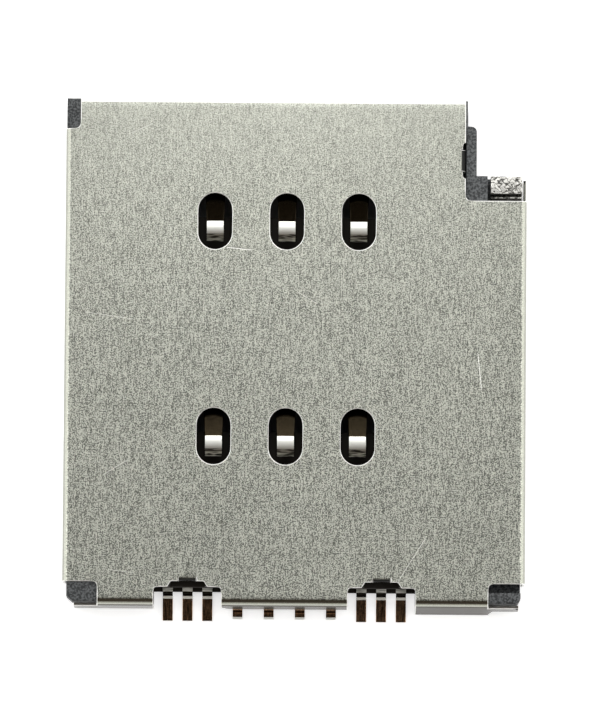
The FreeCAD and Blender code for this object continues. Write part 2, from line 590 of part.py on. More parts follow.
def lead_outline(contact):
    """The flat part of a contact: the bar at the beam's root, the lane back along the socket,
    the turn to its tail and the run to the notch, all in one sheet."""
    column, row, lane, tail = contact[1:]
    side = 1 if value(column) > value(lane) else -1
    turn = side if value(tail) > value(lane) else -side
    root = root_of(row)
    half = f"{side} * Sizes.tail_width / 2"
    bend = f"{turn} * Sizes.tail_width / 2"
    far = f"{column} + {side} * Sizes.root_width / 2"
    jog = "-Sizes.jog_place"
    end = f"-{LEDGE}"
    return [(f"{lane} - {half}", f"{root} + Sizes.root_bar"), (f"{lane} - {half}", f"{jog} - {bend}"),
            (f"{tail} - {half}", f"{jog} - {bend}"), (f"{tail} - {half}", end),
            (f"{tail} + {half}", end), (f"{tail} + {half}", f"{jog} + {bend}"),
            (f"{lane} + {half}", f"{jog} + {bend}"), (f"{lane} + {half}", root),
            (far, root), (far, f"{root} + Sizes.root_bar")]


def switch_base_outline(low, high):
    """The base strip of a switch spring, seen from above, with the runs to its two feet."""
    rear = "-Sizes.rear_reach"
    strip_rear = "-Sizes.switch_rear"
    inner_low = f"{low} + Sizes.foot_width"
    inner_high = f"{high} - Sizes.foot_width"
    front = f"{strip_rear} + Sizes.switch_base"
    return [(low, rear), (inner_low, rear), (inner_low, strip_rear), (inner_high, strip_rear),
            (inner_high, rear), (high, rear), (high, front), (low, front)]


def base_block(base):
    """The outline of the moulding, from the board to the cover's underside."""
    front = "Sizes.front_reach"
    post = "-Sizes.left_reach + Sizes.side_gap"
    post_rear = "Sizes.front_reach - Sizes.corner_depth + Sizes.side_gap"
    rear_left = f"-{BASE_LEFT} + Sizes.rear_inset"
    edge = "Sizes.rear_chamfer"
    outline = [(f"-{BASE_LEFT}", post_rear), (f"-{BASE_LEFT}", f"-Sizes.rear_reach + {edge}"),
               (f"{rear_left} + {edge}", "-Sizes.rear_reach"),
               (BASE_RIGHT, "-Sizes.rear_reach", "Sizes.rear_round"),
               (BASE_RIGHT, "Sizes.rail_front"), ("Sizes.block_right", "Sizes.rail_front"),
               ("Sizes.block_right", "Sizes.block_front", "Sizes.cut_radius"),
               ("Sizes.lip_right", "Sizes.block_front"), ("Sizes.lip_right", front),
               (post, front), (post, post_rear)]
    prism(base, "Pad", "XY_Plane", "0", UNDER, [outline], "block")
    soften(base, "Fillet", "top_edges",
           lambda p: near(p.z, UNDER) and (near(p.x, f"-{BASE_LEFT}") or near(p.x, BASE_RIGHT)
                                           or near(p.y, "-Sizes.rear_reach")), "Sizes.bend")


def base_hollows(base):
    """The tray's space, the rod's channel, the lever's bay and the recess for the switch."""
    top = UNDER
    floor = "Sizes.floor_thick"
    ahead = "Sizes.front_reach + Sizes.sheet"
    prism(base, "Pocket", "XY_Plane", floor, top,
          [rectangle("-Sizes.cavity_left", "Sizes.cavity_right", "-Sizes.cavity_rear", ahead)],
          "tray_space")
    prism(base, "Pocket", "XY_Plane", floor, top,
          [rectangle("Sizes.rail_right", BEYOND, "-Sizes.channel_rear", ahead)], "rod_channel")
    prism(base, "Pocket", "XY_Plane", floor, top,
          [rectangle("Sizes.cavity_right", "Sizes.rail_right", "-Sizes.cavity_rear",
                     "-Sizes.rail_rear")], "lever_bay")
    half = "Sizes.recess_width / 2"
    recess_rear = "-Sizes.switch_rear - Sizes.run_gap"
    prism(base, "Pocket", "XY_Plane", floor, top,
          [rectangle(f"-{half}", half, recess_rear, "-Sizes.cavity_rear")], "switch_recess")


def base_notches(base):
    """The stepped rear face at the tails, and the slots that take the cover's bent tabs."""
    rear = "-Sizes.rear_reach - Sizes.sheet"
    walls = []
    ledges = []
    slots = []
    for side in ("-", ""):
        middle = f"{side}Sizes.notch_place"
        low = f"{middle} - Sizes.notch_width / 2"
        high = f"{middle} + Sizes.notch_width / 2"
        walls.append(rectangle(low, high, rear, "-Sizes.rear_reach + Sizes.notch_wall"))
        ledges.append(rectangle(low, high, rear, f"-{LEDGE}"))
        half = "(Sizes.head_width / 2 + Sizes.tab_gap)"
        slots.append(rectangle(f"{middle} - {half}", f"{middle} + {half}", rear,
                               f"-{TAB_FACE} + {ROUND} + Sizes.tab_gap"))
    prism(base, "Pocket", "XY_Plane", STRIP_LOW, UNDER, walls, "notch_walls")
    prism(base, "Pocket", "XY_Plane", "0", STRIP_LOW, ledges, "notch_ledges")
    prism(base, "Pocket", "XY_Plane", "Sizes.tab_foot - Sizes.tab_gap", UNDER, slots, "tab_slots")
    half = "(Sizes.side_tab_width / 2 + Sizes.relief_width)"
    prism(base, "Pocket", "XY_Plane", "Sizes.tab_foot - Sizes.tab_gap", UNDER,
          [rectangle(f"Sizes.nose_right - {ROUND} - Sizes.tab_gap",
                     "Sizes.nose_right + Sizes.tab_gap", f"Sizes.side_tab_place - {half}",
                     f"Sizes.side_tab_place + {half}")], "side_tab_slot")


def base_inserts(base):
    """Windows under the beams, and the pockets that the leads and switch strips fill."""
    half = "Sizes.floor_window / 2"
    for number, contact in enumerate(CONTACTS, 1):
        column, row = contact[1:3]
        prism(base, "Pocket", "XY_Plane", "0", "Sizes.floor_thick",
              [rectangle(f"{column} - {half}", f"{column} + {half}",
                         f"{row} * Sizes.row_pitch / 2 + Sizes.floor_window_rear", root_of(row))],
              f"beam_window_{number}")
        prism(base, "Pocket", "XY_Plane", STRIP_LOW, "Sizes.floor_thick", [lead_outline(contact)],
              f"lead_pocket_{number}")
    for number, (low, high) in enumerate(SWITCH_BASES, 1):
        prism(base, "Pocket", "XY_Plane", STRIP_LOW, "Sizes.floor_thick",
              [switch_base_outline(low, high)], f"switch_pocket_{number}")


def base_details(base):
    """Latch lugs with sloping tops, the lever's seat with the bore for its pin, and the
    lead-in at the mouth."""
    half = "Sizes.latch_width / 2"
    sides = (("left", f"-{BASE_LEFT}", "-Sizes.left_reach + Sizes.run_gap"),
             ("right", BASE_RIGHT, "Sizes.right_reach - Sizes.run_gap"))
    places = (("rear", "-Sizes.latch_place"), ("front", "Sizes.latch_place - Sizes.latch_width"))
    highest = {"left": "Sizes.latch_high", "right": "min(Sizes.latch_high; Sizes.floor_thick)"}
    for side, wall, tip in sides:
        for name, place in places:
            high = highest[side]
            lug = [(wall, "Sizes.latch_low"), (tip, "Sizes.latch_low"),
                   (tip, "Sizes.latch_low + Sizes.strip"), (wall, high)]
            prism(base, "Pad", "XZ_Plane", f"{place} - {half}", f"{place} + {half}", [lug],
                  f"lug_{side}_{name}")
    prism(base, "Pad", "XY_Plane", "Sizes.floor_thick", "Sizes.seat_top",
          [("circle", "Sizes.pivot_x", "-Sizes.pivot_y", "Sizes.seat_radius")], "lever_seat")
    prism(base, "Pocket", "XY_Plane", "0", "Sizes.seat_top",
          [("circle", "Sizes.pivot_x", "-Sizes.pivot_y", "Sizes.pin_radius")], "pin_bore")
    soften(base, "Chamfer", "mouth_lead_in",
           lambda p: near(p.y, "Sizes.front_reach") and near(p.z, "Sizes.floor_thick"),
           "Sizes.mouth_chamfer")


def make_housing():
    """The whole base."""
    base = new_body("housing")
    base_block(base)
    base_hollows(base)
    base_notches(base)
    base_inserts(base)
    base_details(base)
    return base


# A contact is a stamped strip: a flat lead in the floor, a tapering beam that rises to a rounded
# contact point under its window, and a tail bent down to the board.

def make_tail(body, name, across, exit_face, full_width, end):
    """A tail: level out of the base, down in two tangent bends, then flat on the board."""
    width = f"{full_width} / 2"
    profile = new_sketch(body, f"{name}_section", "XZ_Plane", across, STRIP_MIDDLE, exit_face)
    draw_line(profile, rectangle(f"-{width}", width, "-Sizes.strip / 2", "Sizes.strip / 2"), True)
    path = new_sketch(body, f"{name}_path", "YZ_Plane", lift=across)
    shoulder = f"-({exit_face} + Sizes.tail_shoulder)"
    foot = f"{shoulder} - Sizes.tail_drop"
    draw_line(path, [(f"-{exit_face}", STRIP_MIDDLE), (shoulder, STRIP_MIDDLE, "Sizes.tail_bend"),
                     (foot, "Sizes.strip / 2", "Sizes.tail_bend"),
                     (f"-{end}", "Sizes.strip / 2")], False)
    sweep(body, name, profile, path)


def make_beam(body, column, row):
    """The spring beam of a contact, swept at full width and then trimmed to its taper."""
    root = root_of(row)
    middle = f"({row} * Sizes.row_pitch / 2)"
    start = f"{root} + Sizes.root_bar / 2"
    half = "Sizes.root_width / 2"
    profile = new_sketch(body, "beam_section", "XZ_Plane", column, STRIP_MIDDLE, f"-({start})")
    draw_line(profile, rectangle(f"-{half}", half, "-Sizes.strip / 2", "Sizes.strip / 2"), True)
    path = new_sketch(body, "beam_path", "YZ_Plane", lift=column)
    draw_line(path, [(start, STRIP_MIDDLE),
                     (f"{root} - Sizes.beam_flat", STRIP_MIDDLE, "Sizes.beam_bend"),
                     (f"{middle} - Sizes.crown_back + Sizes.strip / 2", "Sizes.crown_height",
                      "Sizes.crown_radius"),
                     (f"{middle} - Sizes.tip_back", "Sizes.tip_height")], False)
    sweep(body, "beam", profile, path)
    narrow = "Sizes.crown_width / 2"
    trims = []
    for side in ("-", "+"):
        trims.append([(f"{column} {side} {half}", f"{root} - Sizes.beam_flat"),
                      (f"{column} {side} {narrow}", f"{middle} + Sizes.floor_window_rear"),
                      (f"{column} {side} {narrow}", f"{middle} - Sizes.window_length"),
                      (f"{column} {side} Sizes.root_width", f"{middle} - Sizes.window_length"),
                      (f"{column} {side} Sizes.root_width", f"{root} - Sizes.beam_flat")])
    prism(body, "Pocket", "XY_Plane", "0", "Sizes.height", trims, "beam_taper")


def make_contact(contact):
    """One of the six contacts."""
    name, column, row, tail = contact[0], contact[1], contact[2], contact[4]
    body = new_body(name)
    prism(body, "Pad", "XY_Plane", STRIP_LOW, "Sizes.floor_thick", [lead_outline(contact)], "lead")
    make_beam(body, column, row)
    make_tail(body, "tail", tail, LEDGE, "Sizes.tail_width", "Sizes.tail_end")
    return body


# The card switch is two springs in the rear wall's recess. The tray presses the bulge of the
# first one back, and its end then touches the second.

def make_switch_part(label, side):
    """Base strip of a switch spring with its two feet."""
    body = new_body(label)
    low, high = SWITCH_BASES[side]
    prism(body, "Pad", "XY_Plane", STRIP_LOW, "Sizes.floor_thick", [switch_base_outline(low, high)],
          "base_strip")
    for number, end in enumerate((f"{low} + Sizes.foot_width / 2", f"{high} - Sizes.foot_width / 2")):
        make_tail(body, f"foot_{number + 1}", end, "Sizes.rear_reach", "Sizes.foot_width",
                  "Sizes.foot_end")
    return body


def make_detect_spring():
    """The moving spring: a post on the base strip and an arm that bulges into the tray's space."""
    body = make_switch_part("detect_spring", 0)
    low = SWITCH_BASES[0][0]
    front = "(-Sizes.switch_rear + Sizes.switch_base)"
    prism(body, "Pad", "XY_Plane", "Sizes.floor_thick", "Sizes.switch_high",
          [rectangle(low, f"{low} + Sizes.foot_width", f"{front} - Sizes.strip", front)], "post")
    tall = "(Sizes.switch_high - Sizes.switch_low) / 2"
    level = "(Sizes.switch_high + Sizes.switch_low) / 2"
    start = f"{low} + Sizes.foot_width / 2"
    line = f"{front} - Sizes.strip / 2"
    profile = new_sketch(body, "arm_section", "YZ_Plane", line, level, start)
    draw_line(profile, rectangle("-Sizes.strip / 2", "Sizes.strip / 2", f"-{tall}", tall), True)
    path = new_sketch(body, "arm_path", "XY_Plane", lift=level)
    draw_line(path, [(start, line), ("-Sizes.foot_pitch", line, "Sizes.switch_bend"),
                     ("0", "-Sizes.switch_bulge", "Sizes.switch_bend"),
                     ("Sizes.foot_pitch", line)], False)
    sweep(body, "arm", profile, path)
    return body


def make_detect_anvil():
    """The fixed spring: an upright plate behind the end of the moving one."""
    body = make_switch_part("detect_anvil", 1)
    front = "(-Sizes.switch_rear + Sizes.switch_base - Sizes.strip - Sizes.switch_gap)"
    middle = "Sizes.foot_pitch"
    prism(body, "Pad", "XY_Plane", "Sizes.floor_thick", "Sizes.switch_high",
          [rectangle(f"{middle} - Sizes.anvil_width / 2", f"{middle} + Sizes.anvil_width / 2",
                     f"{front} - Sizes.strip", front)], "upright")
    return body


# The ejector: the rod slides rearward in its channel, and the bell crank that it turns on the
# pin pushes the tray forward. Lever and pin are drawn about the pin's axis and then placed.

TIP_ACROSS = "(Sizes.rod_arm * cos(Sizes.rod_arm_angle))"
TIP_ALONG = "(Sizes.rod_arm * sin(Sizes.rod_arm_angle))"


def make_rod():
    """The rod: a bar with a raised head at the front and a notch for the lever at the rear."""
    body = new_body("eject_rod")
    right = f"({INNER_RIGHT} - Sizes.rod_gap)"
    tip = f"(-Sizes.pivot_y + {TIP_ALONG})"
    half = "(Sizes.tip_radius + Sizes.mesh_gap)"
    rear = f"{tip} - {half} - Sizes.rod_end"
    head_rear = "Sizes.rail_front - Sizes.head_length"
    front = "Sizes.rail_front"
    bar = [("Sizes.rod_left", rear), (right, rear), (right, front), ("Sizes.rod_left", front),
           ("Sizes.rod_left", f"{tip} + {half}", "Sizes.notch_mouth"),
           ("Sizes.notch_floor", f"{tip} + {half}", "Sizes.tip_radius"),
           ("Sizes.notch_floor", f"{tip} - {half}", "Sizes.tip_radius"),
           ("Sizes.rod_left", f"{tip} - {half}", "Sizes.notch_mouth")]
    prism(body, "Pad", "XY_Plane", SLIDE_LOW, "Sizes.rod_top", [bar], "bar")
    prism(body, "Pad", "XY_Plane", "Sizes.rod_top", "Sizes.head_top",
          [rectangle("Sizes.rod_left", right, head_rear, front)], "head")
    soften(body, "Fillet", "head_edges", lambda p: near(p.z, "Sizes.head_top"), "Sizes.rod_edge")
    return body


def place_on_pivot(body):
    """Puts a piece that is drawn about the pin's axis in its place."""
    body.setExpression("Placement.Base.x", "Sizes.pivot_x")
    body.setExpression("Placement.Base.y", "-Sizes.pivot_y")


def make_lever():
    """The bell crank: a hub, an arm with a round tip in the rod and a longer arm to the tray."""
    body = new_body("eject_lever")
    prism(body, "Pad", "XY_Plane", LEVER_LOW, LEVER_HIGH, [("circle", "0", "0", "Sizes.hub_radius")],
          "hub")
    arms = (("rod_arm", "Sizes.rod_arm", "Sizes.rod_arm_angle", "Sizes.rod_arm_half"),
            ("tray_arm", "Sizes.tray_arm", "Sizes.tray_arm_angle", "Sizes.tray_tip"))
    for name, length, angle, radius in arms:
        sketch = new_sketch(body, f"{name}_outline", "XY_Plane", lift=LEVER_LOW, turn=angle)
        draw_slot(sketch, ("0", "0"), (length, "0"), radius)
        arm = body.newObject("PartDesign::Pad", name)
        arm.Profile = sketch
        arm.setExpression("Length", "Sizes.lever_thick")
        doc.recompute()
    prism(body, "Pad", "XY_Plane", LEVER_LOW, LEVER_HIGH,
          [("circle", TIP_ACROSS, TIP_ALONG, "Sizes.tip_radius")], "tip")
    prism(body, "Pocket", "XY_Plane", LEVER_LOW, LEVER_HIGH,
          [("circle", "0", "0", "Sizes.pin_radius + Sizes.pin_gap")], "bore")
    place_on_pivot(body)
    return body


def make_pin():
    """The pivot pin: turned, pressed into the base, with a head that keeps the lever down."""
    body = new_body("lever_pin")
    sketch = new_sketch(body, "pin_outline", "XZ_Plane")
    neck = f"{LEVER_HIGH} + Sizes.run_gap"
    top = f"{neck} + Sizes.pin_head_thick"
    draw_line(sketch, [("0", "Sizes.pin_foot"), ("Sizes.pin_radius", "Sizes.pin_foot"),
                       ("Sizes.pin_radius", neck), ("Sizes.pin_head", neck),
                       ("Sizes.pin_head", top, "Sizes.pin_head_thick / 2"), ("0", top)], True)
    pin = body.newObject("PartDesign::Revolution", "pin")
    pin.Profile = sketch
    pin.ReferenceAxis = (sketch, ["V_Axis"])
    pin.Angle = 360
    place_on_pivot(body)
    doc.recompute()
    return body


def check_model(parts):
    """Stops where a feature failed, a cut cut nothing, or a piece isn't one valid solid."""
    for item in doc.Objects:
        if "Invalid" in item.State or "Error" in item.State:
            raise RuntimeError(f"{item.Name} failed: {item.State}")
        if item.TypeId == "PartDesign::Pocket":
            cut = item.BaseFeature.Shape.Volume - item.Shape.Volume
            if cut < 1e-6:
                raise RuntimeError(f"{item.Name} cuts nothing")
    for part in parts:
        if part.Shape.isNull() or not part.Shape.isValid() or len(part.Shape.Solids) != 1:
            raise RuntimeError(f"{part.Label} isn't one valid solid")


pieces = [make_shell(), make_housing()]
pieces += [make_contact(contact) for contact in CONTACTS]
pieces += [make_detect_spring(), make_detect_anvil(), make_rod(), make_lever(), make_pin()]
doc.recompute()
check_model(pieces)
os.makedirs("parts", exist_ok=True)
for piece in pieces:
    piece.Shape.exportStep(f"parts/{piece.Label}.step")
    box = piece.Shape.BoundBox
    print(f"{piece.Label}: {piece.Shape.Volume:.3f} mm3, X {box.XMin:.2f} to {box.XMax:.2f}, "
          f"Y {box.YMin:.2f} to {box.YMax:.2f}, Z {box.ZMin:.2f} to {box.ZMax:.2f}")
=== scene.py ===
import math
import bmesh
import bpy
import numpy as np
from mathutils import Matrix, Vector


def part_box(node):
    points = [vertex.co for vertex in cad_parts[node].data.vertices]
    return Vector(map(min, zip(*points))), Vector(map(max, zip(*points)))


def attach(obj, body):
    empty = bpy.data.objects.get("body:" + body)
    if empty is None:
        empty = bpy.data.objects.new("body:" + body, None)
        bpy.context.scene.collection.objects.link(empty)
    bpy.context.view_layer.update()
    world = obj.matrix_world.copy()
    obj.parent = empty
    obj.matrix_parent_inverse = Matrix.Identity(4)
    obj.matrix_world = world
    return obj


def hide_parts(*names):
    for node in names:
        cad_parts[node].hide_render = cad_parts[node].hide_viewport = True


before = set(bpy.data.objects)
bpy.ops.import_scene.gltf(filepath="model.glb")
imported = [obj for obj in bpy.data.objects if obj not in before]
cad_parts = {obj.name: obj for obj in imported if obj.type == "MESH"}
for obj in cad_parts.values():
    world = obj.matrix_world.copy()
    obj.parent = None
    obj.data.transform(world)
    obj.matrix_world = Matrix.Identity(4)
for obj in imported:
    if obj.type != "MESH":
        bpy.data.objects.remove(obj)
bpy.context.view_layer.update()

MM = 0.001               # sizes below are in millimetres and meshes are in metres

# The cover: one blanked and folded sheet of satin stainless steel. It is laid out flat here as a
# grid with its cut-outs left open, and a folding function then bends its sides, its rear flange
# and its tabs down, as the press does. It snaps over lugs on the base.

shell_low, shell_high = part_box("shell")
COVER_TOP = shell_high.z / MM
LEFT, RIGHT, FRONT = shell_low.x / MM, shell_high.x / MM, shell_high.y / MM
SHEET = 0.12
CUT_ROUND = 0.028        # rounding that blanking leaves on the outer side of every cut edge
OUTER_BEND, REAR_ROUND, TAB_ROUND, FRONT_ROLL = 0.22, 0.30, 0.15, 0.13
REAR_FACE = -9.80
REAR_BEND = REAR_FACE + REAR_ROUND
FRONT_BEND = FRONT - FRONT_ROLL
FRONT_END = FRONT_BEND + FRONT_ROLL * math.pi / 2
QUARTER = OUTER_BEND * math.pi / 2
PITCH, ROWS = 2.54, 7.62
WINDOW_WIDTH, WINDOW_LENGTH = 1.20, 2.00
WINDOW_PLACES = [(column * PITCH, row * ROWS / 2) for column in (-1, 0, 1) for row in (-1, 1)]
PATCH_WIDTH, PATCH_LENGTH = 1.50, 2.30      # square-cornered patch of sheet round a window
NOSE_RIGHT, STEP_FRONT = 6.30, 4.60
SKIRT_FRONT, SKIRT_TOP = 5.40, 0.90
CORNER_X, CORNER_Y = LEFT + 0.51, FRONT - 1.07
REAR_LEFT, REAR_RIGHT, REAR_CUT = -6.60, 7.18, -8.97
NOTCHES = (-3.42, 3.42)
NOTCH_HALF, NOTCH_EDGE = 1.19, -9.14
HEAD_HALF, HEAD_EDGE, HEAD_SLANT = 0.58, -8.94, 0.12
TAB_HALF, TAB_BEND = 0.33, -8.77
SIDE_TAB = (5.63, 6.41)
SIDE_TAB_BEND = NOSE_RIGHT - OUTER_BEND
RELIEF, RELIEF_WIDTH = 0.10, 0.24
INNER_ROUND, NOTCH_ROUND = 0.20, 0.12
WALL_FOOT, MIDDLE_FOOT, EAR_TOP, TAB_FOOT = 0.10, 0.65, 1.15, 0.95
EARS = (-7.44, 8.27)
LATCHES = (-4.50, 3.30)
LATCH_HALF, LATCH_LOW, LATCH_HIGH = 0.64, 0.18, 0.66
SOLDER_TABS = ((6.40, -1), (-7.20, -1), (4.00, 1), (-7.20, 1))      # place, side of the cover
SOLDER_HALF = 0.60
LEAN_EDGES = (-2.0, 2.3, REAR_RIGHT + 0.05)
LEANS = [math.radians(lean) for lean in (1.6, 5.5, 8.5)]
EAR_LEAN = math.radians(2.5)


def bend_down(over, radius=OUTER_BEND, lean=0.0):
    """Where sheet that runs past a bend line by a length ends up: outward and downward distance.
    It follows an arc of the radius up to a quarter turn less the lean, then its tangent."""
    turn = np.pi / 2 - lean
    angle = np.clip(over / radius, 0.0, turn)
    rest = np.maximum(over - radius * turn, 0.0)
    outward = radius * np.sin(angle) + rest * np.sin(lean)
    downward = radius * (1 - np.cos(angle)) + rest * np.cos(lean)
    return outward, downward


def fold(u, v, right=RIGHT - OUTER_BEND, rear=REAR_BEND):
    """Flat place (u, v) to folded place: what runs past the left, right or rear bend line goes
    round that bend and down, and the front edge is rolled down. The rear flange leans outward,
    by an angle for each of its sections and its ear. Given another bend line, a tab is folded."""
    left = LEFT + OUTER_BEND
    lean = np.select([u < edge for edge in LEAN_EDGES], LEANS, EAR_LEAN)
    out_left, down_left = bend_down(np.maximum(left - u, 0))
    out_right, down_right = bend_down(np.maximum(u - right, 0))
    flange = (REAR_ROUND, lean) if rear == REAR_BEND else (TAB_ROUND, 0.0)
    out_rear, down_rear = bend_down(np.maximum(rear - v, 0), *flange)
    out_front, down_front = bend_down(np.maximum(v - FRONT_BEND, 0), FRONT_ROLL)
    x = np.clip(u, left, right) - out_left + out_right
    y = np.clip(v, rear, FRONT_BEND) - out_rear + out_front
    down = down_left + down_right + down_rear + down_front
    return np.stack([x, y, COVER_TOP - down], -1)


def height_to_length(z, radius=OUTER_BEND):
    """Length of sheet past a bend line at which a square bend reaches a height z."""
    return radius * (math.pi / 2 - 1) + COVER_TOP - z


def grid_patch(us, vs, keep, place):
    """Quads between grid lines us and vs. keep(u, v) says which cells stay, tested at their
    middles, and place(u, v) puts the corners in space. Returns points and faces."""
    u, v = np.meshgrid(us, vs, indexing="ij")
    points = place(u, v).reshape(-1, 3)
    index = np.arange(u.size).reshape(u.shape)
    cells = np.stack([index[:-1, :-1], index[1:, :-1], index[1:, 1:], index[:-1, 1:]], -1)
    middle_u, middle_v = np.meshgrid((us[1:] + us[:-1]) / 2, (vs[1:] + vs[:-1]) / 2, indexing="ij")
    return points, cells[keep(middle_u, middle_v)]


def ring_patch(inner, outer):
    """Quads between two closed lines with as many points each, in three even steps."""
    steps = np.linspace(0, 1, 4)[:, None, None]
    points = inner * (1 - steps) + outer * steps
    count = len(inner)
    index = np.arange(4 * count).reshape(4, count)
    ahead = np.roll(index, -1, 1)
    faces = np.stack([index[:-1], index[1:], ahead[1:], ahead[:-1]], -1).reshape(-1, 4)
    return points.reshape(-1, 3), faces


def weld(patches):
    """Joins patches into one set of points and faces, with points at one place made one."""
    offsets = np.cumsum([0] + [len(points) for points, _ in patches[:-1]])
    points = np.concatenate([points for points, _ in patches])
    moved = [faces + offset for (_, faces), offset in zip(patches, offsets)]
    used = np.unique(np.concatenate([faces.reshape(-1) for faces in moved]))
    keys = np.round(points[used] * 1e5).astype(np.int64)
    _, first, inverse = np.unique(keys, axis=0, return_index=True, return_inverse=True)
    renumber = np.zeros(len(points), np.int64)
    renumber[used] = inverse.reshape(-1)
    return points[used][first], [face for faces in moved for face in renumber[faces].tolist()]


def make_object(name, points, faces):
    """A smooth mesh object from points in millimetres and faces, an array or a list."""
    mesh = bpy.data.meshes.new(name)
    face_list = faces.tolist() if hasattr(faces, "tolist") else faces
    mesh.from_pydata((np.asarray(points) * MM).tolist(), [], face_list)
    mesh.update()
    mesh.polygons.foreach_set("use_smooth", [True] * len(mesh.polygons))
    piece = bpy.data.objects.new(name, mesh)
    bpy.context.scene.collection.objects.link(piece)
    return piece


EDGE_ANGLE = math.radians(40)


def round_edges(piece, width, segments, material=-1, clamp=False):
    """Rounds every edge sharper than an angle, as blanking and tumbling leave them. The new
    faces can take another of the piece's materials."""
    bevel = piece.modifiers.new("rounded_edges", "BEVEL")
    bevel.width = width * MM
    bevel.segments = segments
    bevel.limit_method = "ANGLE"
    bevel.angle_limit = EDGE_ANGLE
    bevel.harden_normals = True
    bevel.use_clamp_overlap = clamp
    bevel.miter_outer = "MITER_ARC"
    bevel.material = material


def thicken(piece, thickness):
    """Gives a sheet its thickness on the inner side."""
    solidify = piece.modifiers.new("sheet", "SOLIDIFY")
    solidify.thickness = thickness * MM
    solidify.offset = -1
    solidify.use_even_offset = True


def span(low, high, count):
    """Even grid lines between two places."""
    return np.linspace(low, high, count + 1)


def within(value, low, high):
    """True where a value lies between two bounds."""
    return (value > low) & (value < high)


SLACK = 1e-4             # slack in comparing grid lines


def window_ring(place, across, along):
    """Sheet between an obround window and the square-cornered hole in the grid round it. Its
    outer points are the grid's, and its inner ones stand evenly round the window's edge."""
    half_x, half_y = PATCH_WIDTH / 2, PATCH_LENGTH / 2
    xs, ys = across - place[0], along - place[1]
    xs = xs[within(xs, -half_x - SLACK, half_x + SLACK)]
    ys = ys[within(ys, -half_y - SLACK, half_y + SLACK)]
    outer = np.concatenate([np.stack([xs[:-1], np.full(len(xs) - 1, -half_y)], 1),
                            np.stack([np.full(len(ys) - 1, half_x), ys[:-1]], 1),
                            np.stack([xs[:0:-1], np.full(len(xs) - 1, half_y)], 1),
                            np.stack([np.full(len(ys) - 1, -half_x), ys[:0:-1]], 1)])
    radius = WINDOW_WIDTH / 2
    straight = WINDOW_LENGTH / 2 - radius
    angle = np.linspace(-0.75, 1.25, 481) * np.pi
    edge = radius * np.stack([np.cos(angle), np.sin(angle)], 1)
    edge[:, 1] += straight * np.sign(edge[:, 1])
    run = np.concatenate([[0], np.cumsum(np.linalg.norm(np.diff(edge, axis=0), axis=1))])
    even = np.linspace(0, run[-1], len(outer) + 1)[:-1]
    inner = np.stack([np.interp(even, run, edge[:, 0]), np.interp(even, run, edge[:, 1])], 1)
    level = np.full((len(outer), 1), COVER_TOP)
    return ring_patch(np.hstack([inner + place, level]), np.hstack([outer + place, level]))


FAN_INSET = 0.04         # how far a fan's middle stands off its corner, as a share of the size


def corner_patch(corner, sign, radius, across, along):
    """Sheet that fills an inner corner up to an arc tangent to both edges of the cut-out, which
    lies towards sign. A fan about a point near the corner meets every grid line on its edges."""
    angle = np.linspace(0, np.pi / 2, 7)
    corner, sign = np.array(corner), np.array(sign)
    arc = corner + sign * radius * (1 - np.stack([np.sin(angle), np.cos(angle)], 1))
    sides = []
    for axis, lines in enumerate((across, along)):
        reach = (lines - corner[axis]) * sign[axis]
        reach = np.sort(reach[within(reach, SLACK, radius - SLACK)])
        side = np.tile(corner, (len(reach), 1))
        side[:, axis] += sign[axis] * reach
        sides.append(side)
    middle = corner + sign * radius * FAN_INSET
    flat = np.vstack([arc, sides[1][::-1], corner, sides[0], middle])
    count = len(flat) - 1
    number = np.arange(count)
    fan = np.stack([np.full(count, count), number, (number + 1) % count], 1)
    return fold(flat[:, 0], flat[:, 1]), fan if sign[0] * sign[1] > 0 else fan[:, ::-1]


def slant_patch(middle, side, across, along):
    """Sheet beside the head of a notch, cut off along a slanting line from the notch's edge to
    the head's edge, as a fan about a point near the corner that the two grid edges share."""
    inner, outer = HEAD_HALF, HEAD_HALF + HEAD_SLANT
    beside = np.sort(side * (across - middle))
    beside = beside[within(beside, inner + SLACK, outer - SLACK)]
    level = along[within(along, NOTCH_EDGE + SLACK, HEAD_EDGE - SLACK)]
    rim = [(outer, NOTCH_EDGE), *((outer, v) for v in level), (outer, HEAD_EDGE),
           *((u, HEAD_EDGE) for u in beside[::-1]), (inner, HEAD_EDGE)]
    inset = FAN_INSET * RELIEF
    flat = np.array(rim + [(outer - inset, HEAD_EDGE - inset)])
    count = len(rim)
    number = np.arange(count)
    fan = np.stack([np.full(count, count), number, (number + 1) % count], 1)
    return fold(middle + side * flat[:, 0], flat[:, 1]), fan if side > 0 else fan[:, ::-1]


def wall_height(past, radius=OUTER_BEND):
    """Height of the sheet at a length past a bend line."""
    return COVER_TOP + radius * (math.pi / 2 - 1) - past


def everywhere(u, v):
    """True for every cell."""
    return np.ones(u.shape, bool)


